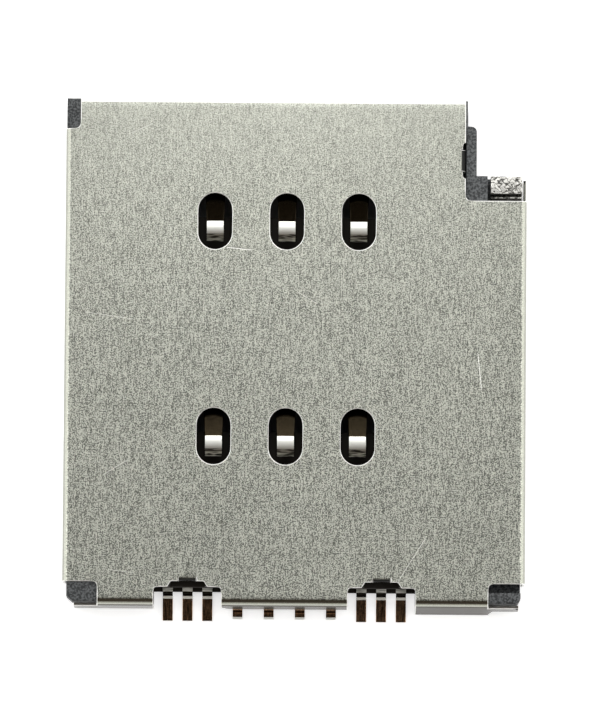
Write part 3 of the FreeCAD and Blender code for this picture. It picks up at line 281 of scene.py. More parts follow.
def blank(u, v):
    """True where the flat blank has metal: the plate less its cut-outs, the side walls with
    their latch windows, and the rear flange with its ears."""
    past_left, past_right = LEFT + OUTER_BEND - u, u - RIGHT + OUTER_BEND
    past_rear = REAR_BEND - v
    side = (past_left > 0) | (past_right > 0)
    side_z = wall_height(np.maximum(past_left, past_right))
    latch = np.zeros(u.shape, bool)
    solder = np.zeros(u.shape, bool)
    for place in LATCHES:
        latch |= within(v, place - LATCH_HALF, place + LATCH_HALF)
    latch &= side & within(side_z, LATCH_LOW, LATCH_HIGH)
    for place, wall in SOLDER_TABS:
        solder |= within(v, place - SOLDER_HALF, place + SOLDER_HALF) & (np.sign(u) == wall)
    metal = ~latch & (~side | (side_z > WALL_FOOT) | solder)
    metal &= ~((u < CORNER_X) & (v > CORNER_Y))
    metal &= ~((u > NOSE_RIGHT) & (v > STEP_FRONT) & ~((past_right > 0) & (side_z < SKIRT_TOP)))
    metal &= ~((past_right > 0) & (v > SKIRT_FRONT))
    metal &= ~((past_left > 0) & (v < REAR_CUT)) & ~((past_right > QUARTER) & (v < REAR_CUT))
    rear_z = wall_height(past_rear, REAR_ROUND)
    ear = (past_rear > 0) & (rear_z < EAR_TOP) & within(u, EARS[0], EARS[1])
    corner = ((u < REAR_LEFT) | (u > REAR_RIGHT)) & (v < REAR_CUT)
    metal &= ~corner | ear
    foot = np.where(np.abs(u) < NOTCHES[1], MIDDLE_FOOT, WALL_FOOT)
    metal &= (past_rear < 0) | (rear_z > foot)
    for middle in NOTCHES:
        beside = np.abs(u - middle)
        metal &= ~((beside < NOTCH_HALF) & (v < NOTCH_EDGE))
        metal &= ~((beside < HEAD_HALF + HEAD_SLANT) & (v < HEAD_EDGE))
        metal &= ~((beside < TAB_HALF) & (v < TAB_BEND))
    metal &= ~((u > SIDE_TAB_BEND) & within(v, *SIDE_TAB) & (u < NOSE_RIGHT))
    reliefs = within(v, SIDE_TAB[0] - RELIEF_WIDTH, SIDE_TAB[1] + RELIEF_WIDTH)
    metal &= ~(within(u, NOSE_RIGHT - RELIEF, NOSE_RIGHT) & reliefs)
    for x, y in WINDOW_PLACES:
        metal &= ~((np.abs(u - x) < PATCH_WIDTH / 2) & (np.abs(v - y) < PATCH_LENGTH / 2))
    return metal


# corner of each cut-out, the side on which the cut-out lies, and the radius
INNER_CORNERS = [(CORNER_X, CORNER_Y, -1, 1, INNER_ROUND),
                 (NOSE_RIGHT, STEP_FRONT, 1, 1, INNER_ROUND),
                 (REAR_LEFT, REAR_CUT, -1, -1, REAR_CUT - NOTCH_EDGE),
                 (REAR_RIGHT, REAR_CUT, 1, -1, REAR_CUT - NOTCH_EDGE),
                 (NOSE_RIGHT - RELIEF, SIDE_TAB[0] - RELIEF_WIDTH, 1, 1, RELIEF),
                 (NOSE_RIGHT - RELIEF, SIDE_TAB[1] + RELIEF_WIDTH, 1, -1, RELIEF)]
for middle in NOTCHES:
    INNER_CORNERS += [(middle - NOTCH_HALF, NOTCH_EDGE, 1, -1, NOTCH_ROUND),
                      (middle + NOTCH_HALF, NOTCH_EDGE, -1, -1, NOTCH_ROUND)]
wall_levels = np.array([LATCH_HIGH, LATCH_LOW, SKIRT_TOP, WALL_FOOT, 0.0])
bend_steps = np.concatenate([span(0, QUARTER, 8), height_to_length(wall_levels)])
flange_levels = np.array([EAR_TOP, MIDDLE_FOOT, WALL_FOOT])
flange_steps = np.concatenate([span(0, REAR_ROUND * math.pi / 2, 8),
                               height_to_length(flange_levels, REAR_ROUND)])
us = [LEFT + OUTER_BEND - bend_steps, RIGHT - OUTER_BEND + bend_steps, EARS, CORNER_X,
      NOSE_RIGHT, SIDE_TAB_BEND, NOSE_RIGHT - RELIEF, REAR_LEFT, REAR_RIGHT]
vs = [REAR_BEND - flange_steps, REAR_BEND, span(FRONT_BEND, FRONT_END, 6), CORNER_Y,
      STEP_FRONT, SKIRT_FRONT, REAR_CUT, NOTCH_EDGE, HEAD_EDGE, TAB_BEND, SIDE_TAB,
      SIDE_TAB[0] - RELIEF_WIDTH, SIDE_TAB[1] + RELIEF_WIDTH]
for x in (-PITCH, 0, PITCH):
    us += [x - PATCH_WIDTH / 2, x + PATCH_WIDTH / 2]
for y in (-ROWS / 2, ROWS / 2):
    vs += [y - PATCH_LENGTH / 2, y + PATCH_LENGTH / 2]
for middle in NOTCHES:
    for half in (NOTCH_HALF, HEAD_HALF, HEAD_HALF + HEAD_SLANT, TAB_HALF):
        us += [middle - half, middle + half]
for place in LATCHES:
    vs += [place - LATCH_HALF, place + LATCH_HALF]
for place, wall in SOLDER_TABS:
    vs += [place - SOLDER_HALF, place + SOLDER_HALF]
for corner_u, corner_v, sign_u, sign_v, radius in INNER_CORNERS:
    us.append(corner_u + sign_u * radius)
    vs.append(corner_v + sign_v * radius)

LINE_GAP = 0.11          # so that no filling line runs through a rounded inner corner


def grid_lines(needed, fill):
    """Sorted grid lines: all that edges need, and filling ones that keep clear of them."""
    lines = np.unique(np.round(np.concatenate([np.atleast_1d(part) for part in needed]), 5))
    clear = np.abs(fill[:, None] - lines).min(1) > LINE_GAP
    return np.unique(np.concatenate([lines, fill[clear]]))


across = grid_lines(us, span(LEFT + OUTER_BEND, RIGHT - OUTER_BEND, 84))
along = grid_lines(vs, span(REAR_BEND, FRONT_BEND, 94))
patches = [grid_patch(across, along, blank, fold)]
for place in WINDOW_PLACES:
    patches.append(window_ring(place, across, along))
for corner_u, corner_v, sign_u, sign_v, radius in INNER_CORNERS:
    patches.append(corner_patch((corner_u, corner_v), (sign_u, sign_v), radius, across, along))
for middle in NOTCHES:
    for side in (-1, 1):
        patches.append(slant_patch(middle, side, across, along))
tab_steps = np.concatenate([span(0, TAB_ROUND * math.pi / 2, 8),
                            [height_to_length(TAB_FOOT, TAB_ROUND)]])
for middle in NOTCHES:
    tab_us = across[within(across, middle - TAB_HALF - SLACK, middle + TAB_HALF + SLACK)]
    patches.append(grid_patch(tab_us, np.sort(TAB_BEND - tab_steps), everywhere,
                              lambda u, v: fold(u, v, rear=TAB_BEND)))
tab_vs = along[within(along, SIDE_TAB[0] - SLACK, SIDE_TAB[1] + SLACK)]
side_steps = np.concatenate([span(0, QUARTER, 8), [height_to_length(TAB_FOOT)]])
patches.append(grid_patch(SIDE_TAB_BEND + side_steps, tab_vs, everywhere,
                          lambda u, v: fold(u, v, right=SIDE_TAB_BEND)))
shell_points, shell_faces = weld(patches)
cover = make_object("cover_sheet", shell_points, shell_faces)
# the rolled front edge takes the second, bright material as a painted highlight
for face in cover.data.polygons:
    if face.center.y > FRONT_BEND * MM:
        face.material_index = 1
thicken(cover, SHEET)
round_edges(cover, CUT_ROUND, 3, material=1)


def add(tree, kind, inputs=None, **settings):
    """A node in a tree, with its settings, and its inputs linked or given a value."""
    item = tree.nodes.new(kind)
    for name, value in settings.items():
        setattr(item, name, value)
    for name, value in (inputs or {}).items():
        if isinstance(value, bpy.types.NodeSocket):
            tree.links.new(value, item.inputs[name])
        else:
            item.inputs[name].default_value = value
    return item


def new_material(name):
    """An empty material. Returns it, its node tree, a place on the object and its three axes."""
    material = bpy.data.materials.new(name)
    material.use_nodes = True
    tree = material.node_tree
    tree.nodes.clear()
    place = add(tree, "ShaderNodeTexCoord").outputs["Object"]
    return material, tree, place, add(tree, "ShaderNodeSeparateXYZ", {0: place}).outputs


def finish_material(tree, inputs):
    """Ends a material with a Principled shader that takes the given inputs."""
    shader = add(tree, "ShaderNodeBsdfPrincipled", inputs)
    add(tree, "ShaderNodeOutputMaterial", {"Surface": shader.outputs["BSDF"]})


def calculate(tree, operation, *values, clamp=False):
    """One step of arithmetic on values and masks."""
    return add(tree, "ShaderNodeMath", dict(enumerate(values)), operation=operation,
               use_clamp=clamp).outputs[0]


def ramp(tree, value, low, high, start=0.0, stop=1.0):
    """A value that goes from start to stop, and no further, as another goes from low to high."""
    return add(tree, "ShaderNodeMapRange", {"Value": value, "From Min": low, "From Max": high,
                                            "To Min": start, "To Max": stop}).outputs[0]


def zone(tree, value, low, high):
    """A mask that rises from 0 to 1 as a place goes from low to high, in millimetres. Where low
    is the larger of the two, it rises towards the smaller places."""
    return ramp(tree, value, low * MM, high * MM)


def both(tree, one, other):
    """The part that two masks share."""
    return calculate(tree, "MULTIPLY", one, other)


def either(tree, one, other):
    """The part that one mask or the other covers."""
    return calculate(tree, "MAXIMUM", one, other)


def stripe(tree, value, low, high, soft=0.01):
    """A mask for places between two bounds in millimetres, with soft sides."""
    return both(tree, zone(tree, value, low - soft, low), zone(tree, value, high + soft, high))


def rest_of(tree, mask):
    """The part that a mask leaves out."""
    return calculate(tree, "SUBTRACT", 1.0, mask)


def blend(tree, mask, under, over):
    """One colour over another where a mask is 1."""
    return add(tree, "ShaderNodeMix", {0: mask, 6: under, 7: over}, data_type="RGBA").outputs[2]


def between(tree, mask, start, stop):
    """A value that goes from start to stop as a mask goes from 0 to 1."""
    return add(tree, "ShaderNodeMix", {0: mask, 2: start, 3: stop}).outputs[0]


def noise(tree, place, scale, detail, roughness=0.5, distortion=0.0):
    """Smooth noise from 0 to 1, with so many features to the metre."""
    return add(tree, "ShaderNodeTexNoise", {"Vector": place, "Scale": scale, "Detail": detail,
                                            "Roughness": roughness,
                                            "Distortion": distortion}).outputs["Fac"]


def bump(tree, height, depth, strength=1.0):
    """A normal for a relief of the given depth in metres."""
    return add(tree, "ShaderNodeBump", {"Strength": strength, "Distance": depth,
                                        "Height": height}).outputs["Normal"]


def new_group(name, given, made):
    """An empty node group with named inputs and outputs. Returns it and what it is given."""
    tree = bpy.data.node_groups.new(name, "ShaderNodeTree")
    for label, kind in given.items():
        tree.interface.new_socket(label, in_out="INPUT", socket_type=f"NodeSocket{kind}")
    for label in made:
        tree.interface.new_socket(label, in_out="OUTPUT", socket_type="NodeSocketFloat")
    return tree, add(tree, "NodeGroupInput").outputs


def grain_group():
    """Streaks and specks of rolled or stamped metal. Takes a place, and how many features there
    are to the metre along each axis; gives streaks and specks from 0 to 1."""
    inputs = {"Place": "Vector", "Streak Scale": "Vector", "Speck Scale": "Float"}
    tree, given = new_group("metal_grain", inputs, ("Streaks", "Specks"))
    stretched = add(tree, "ShaderNodeVectorMath", {0: given["Place"], 1: given["Streak Scale"]},
                    operation="MULTIPLY").outputs[0]
    streaks = noise(tree, stretched, 1.0, 3.0, roughness=0.6)
    specks = noise(tree, given["Place"], given["Speck Scale"], 2.0, roughness=0.7)
    add(tree, "NodeGroupOutput", {"Streaks": streaks, "Specks": specks})
    return tree


def scratch_group():
    """One straight hairline scratch as a mask. Its start, direction, length and width are given;
    the mask fades across the width and stops at both ends."""
    inputs = {"Place": "Vector", "Start": "Vector", "Turn": "Float", "Length": "Float",
              "Width": "Float"}
    tree, given = new_group("hairline", inputs, ("Mask",))
    moved = add(tree, "ShaderNodeVectorMath", {0: given["Place"], 1: given["Start"]},
                operation="SUBTRACT").outputs[0]
    turned = add(tree, "ShaderNodeVectorRotate", {"Vector": moved, "Angle": given["Turn"]},
                 rotation_type="Z_AXIS").outputs[0]
    axes = add(tree, "ShaderNodeSeparateXYZ", {0: turned}).outputs
    across = ramp(tree, calculate(tree, "ABSOLUTE", axes["Y"]), 0.0, given["Width"], 1.0, 0.0)
    length = both(tree, calculate(tree, "GREATER_THAN", axes["X"], 0.0),
                  calculate(tree, "LESS_THAN", axes["X"], given["Length"]))
    add(tree, "NodeGroupOutput", {"Mask": both(tree, across, length)})
    return tree


GRAIN, HAIRLINE = grain_group(), scratch_group()

# for each scratch: start x, start y, direction in degrees, length, width
SCRATCHES = ((-2.12, 2.89, -6, 0.88, 0.030), (-7.1, 0.55, -8, 1.7, 0.012),
             (4.0, -8.9, 58, 1.9, 0.009), (-6.2, -8.55, -7, 0.9, 0.012),
             (-5.6, 6.9, 24, 0.9, 0.013), (1.1, 0.9, 150, 0.8, 0.012),
             (6.9, -2.1, 96, 1.3, 0.013), (-6.4, -5.2, 32, 1.0, 0.012))
STEEL_DARK, STEEL_LIGHT = (0.136, 0.140, 0.122, 1), (0.600, 0.611, 0.536, 1)
STEEL_SCORED = (0.86, 0.86, 0.82, 1)
# painted shade: dark colours for the leg of the rear flange, and near black for the tabs
LEG_SHADE_DARK, LEG_SHADE_LIGHT = (0.085, 0.078, 0.068, 1), (0.140, 0.130, 0.115, 1)
STEEL_TAB_SHADE = (0.022, 0.022, 0.021, 1)
STREAK_SHARE = 0.40                          # how strong streaks are beside specks
CONTRAST_REAR, CONTRAST_FRONT, CONTRAST_BENT = 8.9, 2.0, 0.6
BEND_TOP = COVER_TOP - 0.003                 # just below this the sheet is bent
SHEET_RELIEF, BENT_RELIEF = 0.0000045, 0.0000012                    # in metres
# where the painted shade on the leg of the rear flange begins
LEG_TOP, LEG_FRONT = COVER_TOP - 0.15, REAR_FACE + 0.12
SUNK = COVER_TOP - 0.004                     # tabs are painted with shade from here down
NOTCH_SIDE = 5.0                             # both notches lie nearer the middle than this


def painted_shade_parts(tree, axes):
    """Masks for the painted shade on the leg of the rear flange, and on the tabs in the notches
    and by the nose.
    """
    shaded_leg = both(tree, zone(tree, axes["Z"], LEG_TOP, LEG_TOP - 0.04),
               zone(tree, axes["Y"], LEG_FRONT, LEG_FRONT - 0.04))
    nose_tab = both(tree, stripe(tree, axes["Y"], *SIDE_TAB),
                    stripe(tree, axes["X"], SIDE_TAB_BEND + 0.02, NOSE_RIGHT + 0.10, soft=0.02))
    inner = zone(tree, calculate(tree, "ABSOLUTE", axes["X"]), NOTCH_SIDE, NOTCH_SIDE - 0.1)
    notch_tab = both(tree, stripe(tree, axes["Y"], HEAD_EDGE, TAB_BEND), inner)
    sunk = zone(tree, axes["Z"], SUNK, SUNK - 0.016)
    return shaded_leg, both(tree, sunk, either(tree, nose_tab, notch_tab))


def cover_steel():
    """Satin sheet: fine streaks along the roll, specks, a few hairlines and slow changes of tone.
    Its grain is stronger towards the rear and is drawn smooth in the bends. The leg of the rear
    flange and the tabs are painted dark, dull and not metallic, as painted shade."""
    material, tree, place, axes = new_material("satin_cover_steel")
    grain = add(tree, "ShaderNodeGroup", {"Place": place, "Streak Scale": (26000, 3200, 9000),
                                          "Speck Scale": 23000}, node_tree=GRAIN).outputs
    bent = zone(tree, axes["Z"], BEND_TOP, BEND_TOP - 0.012)
    mixed = calculate(tree, "MULTIPLY_ADD", grain["Streaks"], STREAK_SHARE, grain["Specks"])
    centred = calculate(tree, "SUBTRACT", mixed, (1 + STREAK_SHARE) / 2)
    depth = ramp(tree, axes["Y"], -6 * MM, 8 * MM, CONTRAST_REAR, CONTRAST_FRONT)
    contrast = between(tree, bent, depth, CONTRAST_BENT)
    tone = calculate(tree, "MULTIPLY_ADD", centred, contrast, 0.5, clamp=True)
    # painted shade: on the leg and the tabs the steel is painted dark and made dull and not
    # metallic
    shaded_leg, shaded_tabs = painted_shade_parts(tree, axes)
    shaded = either(tree, shaded_leg, shaded_tabs)
    sheet = blend(tree, shaded_leg, blend(tree, tone, STEEL_DARK, STEEL_LIGHT),
                  blend(tree, tone, LEG_SHADE_DARK, LEG_SHADE_LIGHT))
    scratches = 0.0
    for x, y, turn, length, width in SCRATCHES:
        scratch = add(tree, "ShaderNodeGroup", {
            "Place": place, "Start": (x * MM, y * MM, 0), "Turn": math.radians(-turn),
            "Length": length * MM, "Width": width * MM}, node_tree=HAIRLINE)
        scratches = either(tree, scratches, scratch.outputs["Mask"])
    # painted shade on the tabs, under the scratches
    colour = blend(tree, scratches, blend(tree, shaded_tabs, sheet, STEEL_TAB_SHADE), STEEL_SCORED)
    rolled = ramp(tree, noise(tree, place, 260.0, 3.0), 0.3, 0.7, 0.34, 0.39)
    height = calculate(tree, "MULTIPLY_ADD", scratches, -1.5, mixed)
    normal = bump(tree, height, between(tree, bent, SHEET_RELIEF, BENT_RELIEF))
    finish_material(tree, {"Base Color": colour, "Metallic": rest_of(tree, shaded),
                           "Specular IOR Level": between(tree, shaded, 0.5, 0.05),
                           "Roughness": between(tree, bent, rolled, 0.15), "Normal": normal})
    return material


def cut_edge_and_highlight_steel():
    """The bright, slightly rough land that the blanking punch leaves along every cut edge, painted
    brighter than the sheet as a partly painted highlight. The rolled front edge takes it too, as a
    painted highlight.
    """
    material, tree, place, _ = new_material("cut_edge_steel_and_highlight")
    colour = blend(tree, noise(tree, place, 9000.0, 2.0), (0.80, 0.80, 0.77, 1),
                   (0.98, 0.98, 0.96, 1))
    finish_material(tree, {"Base Color": colour, "Metallic": 1.0, "Roughness": 0.5})
    return material


cover.data.materials.append(cover_steel())
cover.data.materials.append(cut_edge_and_highlight_steel())
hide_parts("shell")
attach(cover, "socket")

# The base: one moulding of black glass-filled plastic, with a floor, side rails, a rod channel and
# corner posts. Its solid is copied and welded here, so that its edges can get the small rounding
# that a mould leaves. The cover holds it down on the board.


def soft_copy(node, name, width):
    """A welded copy of a node with flat faces made whole and its sharp edges rounded."""
    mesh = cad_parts[node].data.copy()
    mesh.name = name
    mesh.materials.clear()
    work = bmesh.new()
    work.from_mesh(mesh)
    bmesh.ops.remove_doubles(work, verts=work.verts, dist=1e-7)
    bmesh.ops.dissolve_limit(work, angle_limit=math.radians(0.5), verts=work.verts,
                             edges=work.edges)
    work.to_mesh(mesh)
    work.free()
    mesh.polygons.foreach_set("use_smooth", [True] * len(mesh.polygons))
    piece = bpy.data.objects.new(name, mesh)
    bpy.context.scene.collection.objects.link(piece)
    round_edges(piece, width, 2, clamp=True)
    return piece


MOULD_ROUND = 0.02
FIBRE_RELIEF = 0.000004                      # in metres
PLASTIC_DARK, PLASTIC_LIGHT = (0.014, 0.016, 0.018, 1), (0.100, 0.107, 0.111, 1)
# painted shade: plain black for the plastic low down under the cover and in the rear notches
PLASTIC_SHADE = (0.020, 0.017, 0.013, 1)
INSIDE_X, INSIDE_Y, INSIDE_TOP = (LEFT + 0.80, 7.00), (-8.85, 7.85), 0.75
NOTCH_WELL = (-9.30, -8.80)


def moulded_plastic():
    """Black glass-filled plastic: a dull skin with faint flow marks and a fine grain of fibres.
    Low down under the cover and in the rear notches it is painted plain black and matt, as painted
    shade."""
    material, tree, place, axes = new_material("moulded_plastic")
    grain = noise(tree, place, 14000.0, 2.0)
    skin = blend(tree, ramp(tree, grain, 0.42, 0.60), PLASTIC_DARK, PLASTIC_LIGHT)
    inside = both(tree, stripe(tree, axes["X"], *INSIDE_X), stripe(tree, axes["Y"], *INSIDE_Y))
    low = both(tree, zone(tree, axes["Z"], INSIDE_TOP + 0.10, INSIDE_TOP),
               zone(tree, axes["Z"], 0.02, 0.05))
    beside = calculate(tree, "ABSOLUTE", axes["X"])
    notch = both(tree, stripe(tree, axes["Y"], *NOTCH_WELL),
                 stripe(tree, beside, NOTCHES[1] - NOTCH_HALF, NOTCHES[1] + NOTCH_HALF))
    # painted shade: plain black and matt there
    shaded_inside = either(tree, both(tree, inside, low), notch)
    rough = ramp(tree, noise(tree, place, 900.0, 4.0), 0.3, 0.7, 0.48, 0.62)
    finish_material(tree, {"Base Color": blend(tree, shaded_inside, skin, PLASTIC_SHADE),
                           "Roughness": rough,
                           "Specular IOR Level": between(tree, shaded_inside, 0.5, 0.1),
                           "Normal": bump(tree, grain, FIBRE_RELIEF, 0.8)})
    return material


base = soft_copy("housing", "base_moulding", MOULD_ROUND)
base.data.materials.append(moulded_plastic())
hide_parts("housing")
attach(base, "socket")

# The six contacts: stamped and plated strips moulded into the floor. A tapering beam rises to a
# rounded point under each window, and a lead runs back to a tail that is bent down to the board.

STRIP = 0.10
STRIP_MIDDLE = 0.40
TAIL_WIDTH, TAIL_PITCH, TAIL_PLACE, TAIL_END = 0.36, 0.70, 3.42, -10.25
LEDGE, SHOULDER, DROP, TAIL_BEND_RADIUS = -9.23, 0.02, 0.15, 0.11
TAIL_ROOT = LEDGE + 0.10
ROOT_WIDTH, ROOT_BAR, BEAM_LENGTH, BEAM_FLAT = 1.00, 0.44, 3.40, 0.15
CROWN_WIDTH, CROWN_BACK, CROWN_HEIGHT, CROWN_RADIUS = 0.60, 0.27, 1.42, 0.80
TIP_BACK, TIP_HEIGHT, BEAM_BEND = 0.66, 1.20, 0.60
LANE_OUTER, LANE_MIDDLE, JOG = 4.42, 3.65, -8.32
# painted highlight across the lower bend of each tail
TAIL_HIGHLIGHT_LINE = (-9.465, -9.385)
FOOT_END = -10.18


def rounded_line(corners, radii, steps):
    """A line through corners in a plane, with each inner corner cut by a tangent arc."""
    line = [np.array(corners[0], float)]
    for before, corner, after, radius in zip(corners, corners[1:], corners[2:], radii):
        before, corner, after = (np.array(place, float) for place in (before, corner, after))
        back = (before - corner) / np.linalg.norm(before - corner)
        ahead = (after - corner) / np.linalg.norm(after - corner)
        half = math.acos(np.clip(back @ ahead, -1, 1)) / 2
        bisector = (back + ahead) / np.linalg.norm(back + ahead)
        centre = corner + bisector * radius / math.sin(half)
        start = corner + back * radius / math.tan(half) - centre
        stop = corner + ahead * radius / math.tan(half) - centre
        for share in np.linspace(0, 1, steps + 1):
            turn = math.pi - 2 * half
            weight = (math.sin((1 - share) * turn), math.sin(share * turn))
            line.append(centre + (start * weight[0] + stop * weight[1]) / math.sin(turn))
    line.append(np.array(corners[-1], float))
    return np.array(line)


def round_section(width, thickness, radius=0.018, steps=3):
    """Points round a strip's section, a rectangle with rounded corners, for each width given."""
    angle = np.linspace(0, np.pi / 2, steps + 1)
    arc = radius * np.stack([np.cos(angle), np.sin(angle)], 1)
    across, up = [], []
    for sign_x, sign_z, order in ((1, 1, 1), (-1, 1, -1), (-1, -1, 1), (1, -1, -1)):
        curve = arc[::order]
        across.append(sign_x * (width[:, None] / 2 - radius + curve[:, 0]))
        up.append(sign_z * (thickness / 2 - radius + curve[:, 1]) + 0 * width[:, None])
    return np.concatenate(across, 1), np.concatenate(up, 1)


def bent_strip(x, line, width):
    """A strip carried along a line in the plane across X, at a width for each of its points.
    The section stands square to the line, and both ends are closed."""
    ahead = np.gradient(line, axis=0)
    ahead /= np.linalg.norm(ahead, axis=1, keepdims=True)
    normal = np.stack([-ahead[:, 1], ahead[:, 0]], 1)
    across, up = round_section(width, STRIP)
    points = np.stack([x + across, line[:, :1] + normal[:, :1] * up,
                       line[:, 1:] + normal[:, 1:] * up], -1)
    return tube_faces(points)


def tube_faces(points):
    """Faces of a tube from rings of points, with both ends closed. Its inside is to the left of
    the rings' order seen from the start."""
    rings, count = points.shape[:2]
    index = np.arange(rings * count).reshape(rings, count)
    ahead = np.roll(index, -1, 1)
    sides = np.stack([index[:-1], index[1:], ahead[1:], ahead[:-1]], -1).reshape(-1, 4).tolist()
    return points.reshape(-1, 3), sides + [index[0].tolist(), index[-1][::-1].tolist()]


def flat_block(outline, low, high):
    """An upright block over a closed outline that runs anticlockwise seen from above."""
    outline = np.array(outline, float)
    rings = [np.column_stack([outline, np.full(len(outline), z)]) for z in (low, high)]
    count = len(outline)
    sides = [[n, (n + 1) % count, count + (n + 1) % count, count + n] for n in range(count)]
    ends = [list(range(count))[::-1], list(range(count, 2 * count))]
    return np.vstack(rings), sides + ends


def outward(piece):
    """Turns a piece's faces outward."""
    work = bmesh.new()
    work.from_mesh(piece.data)
    bmesh.ops.recalc_face_normals(work, faces=work.faces)
    work.to_mesh(piece.data)
    work.free()


def join(solids):
    """One set of points and faces from several closed solids."""
    offsets = np.cumsum([0] + [len(points) for points, _ in solids[:-1]])
    faces = [[int(number + offset) for number in face]
             for (_, part), offset in zip(solids, offsets) for face in part]
    return np.vstack([points for points, _ in solids]), faces


def lead_outline(column, root, lane, tail):
    """The flat lead: a bar at the beam's root, a lane, a jog and the run to the tail."""
    side = 1 if column > lane else -1
    turn = side if tail > lane else -side
    half, bend, bar = side * TAIL_WIDTH / 2, turn * TAIL_WIDTH / 2, root + ROOT_BAR
    far = column + side * ROOT_WIDTH / 2
    outline = [(lane - half, bar), (lane - half, JOG - bend), (tail - half, JOG - bend),
               (tail - half, TAIL_ROOT), (tail + half, TAIL_ROOT), (tail + half, JOG + bend),
               (lane + half, JOG + bend), (lane + half, root), (far, root), (far, bar)]
    return outline if side > 0 else outline[::-1]


def beam_solid(column, row):
    """The beam of a contact: level, up a slope, over the rounded point and down to its tip. It
    narrows from its root to the point."""
    middle = row * ROWS / 2
    root = middle + BEAM_LENGTH
    line = rounded_line([(root + ROOT_BAR / 2, STRIP_MIDDLE), (root - BEAM_FLAT, STRIP_MIDDLE),
                         (middle - CROWN_BACK, CROWN_HEIGHT), (middle - TIP_BACK, TIP_HEIGHT)],
                        [BEAM_BEND, CROWN_RADIUS], 16)
    width = np.interp(line[:, 0], [middle + 0.25, root - BEAM_FLAT], [CROWN_WIDTH, ROOT_WIDTH])
    return bent_strip(column, line, width)


def tail_solid(x):
    """A tail: level out of the base, down in two tangent bends, then flat on the board."""
    shoulder = LEDGE - SHOULDER
    line = rounded_line([(TAIL_ROOT, STRIP_MIDDLE), (shoulder, STRIP_MIDDLE),
                         (shoulder - DROP, STRIP / 2), (TAIL_END, STRIP / 2)],
                        [TAIL_BEND_RADIUS, TAIL_BEND_RADIUS], 10)
    return bent_strip(x, line, np.full(len(line), TAIL_WIDTH))


CROWN_PLATED, TIP_PLATED = (-0.42, 0.02), (-0.75, -0.43)
RAISED = (0.70, 0.80)                        # above this a beam stands clear of the floor
BRONZE_DARK, BRONZE_LIGHT = (0.050, 0.026, 0.012, 1), (0.42, 0.25, 0.14, 1)
# painted shade: near-black colours for the raised beams and the drops of the tails, darker lower
# down
BLADE_SHADE_LOW, BLADE_SHADE_HIGH = (0.007, 0.006, 0.004, 1), (0.032, 0.025, 0.015, 1)
TIP_DARK, TIP_LIGHT = (0.06, 0.058, 0.05, 1), (0.66, 0.65, 0.58, 1)
TIN_DARK, TIN_LIGHT_AND_HIGHLIGHT = (0.50, 0.51, 0.46, 1), (0.97, 0.97, 0.91, 1)
NICKEL_AND_HIGHLIGHT = (0.92, 0.92, 0.86, 1)
# the shoulders of the tails: matt tin, painted light in part as a painted highlight
SHOULDER_TIN_AND_HIGHLIGHT = (LEDGE, LEDGE + 0.55)
FOOT_HIGHLIGHT_START = FOOT_END + 0.085               # painted highlight from here to the foot's end
STRIP_RELIEF = 0.00000012                    # in metres


def at_windows(tree, along, low, high):
    """A mask for the same stretch of every beam, measured from the middle of its window."""
    return either(tree, *(stripe(tree, along, row * ROWS / 2 + low, row * ROWS / 2 + high)
                          for row in (-1, 1)))


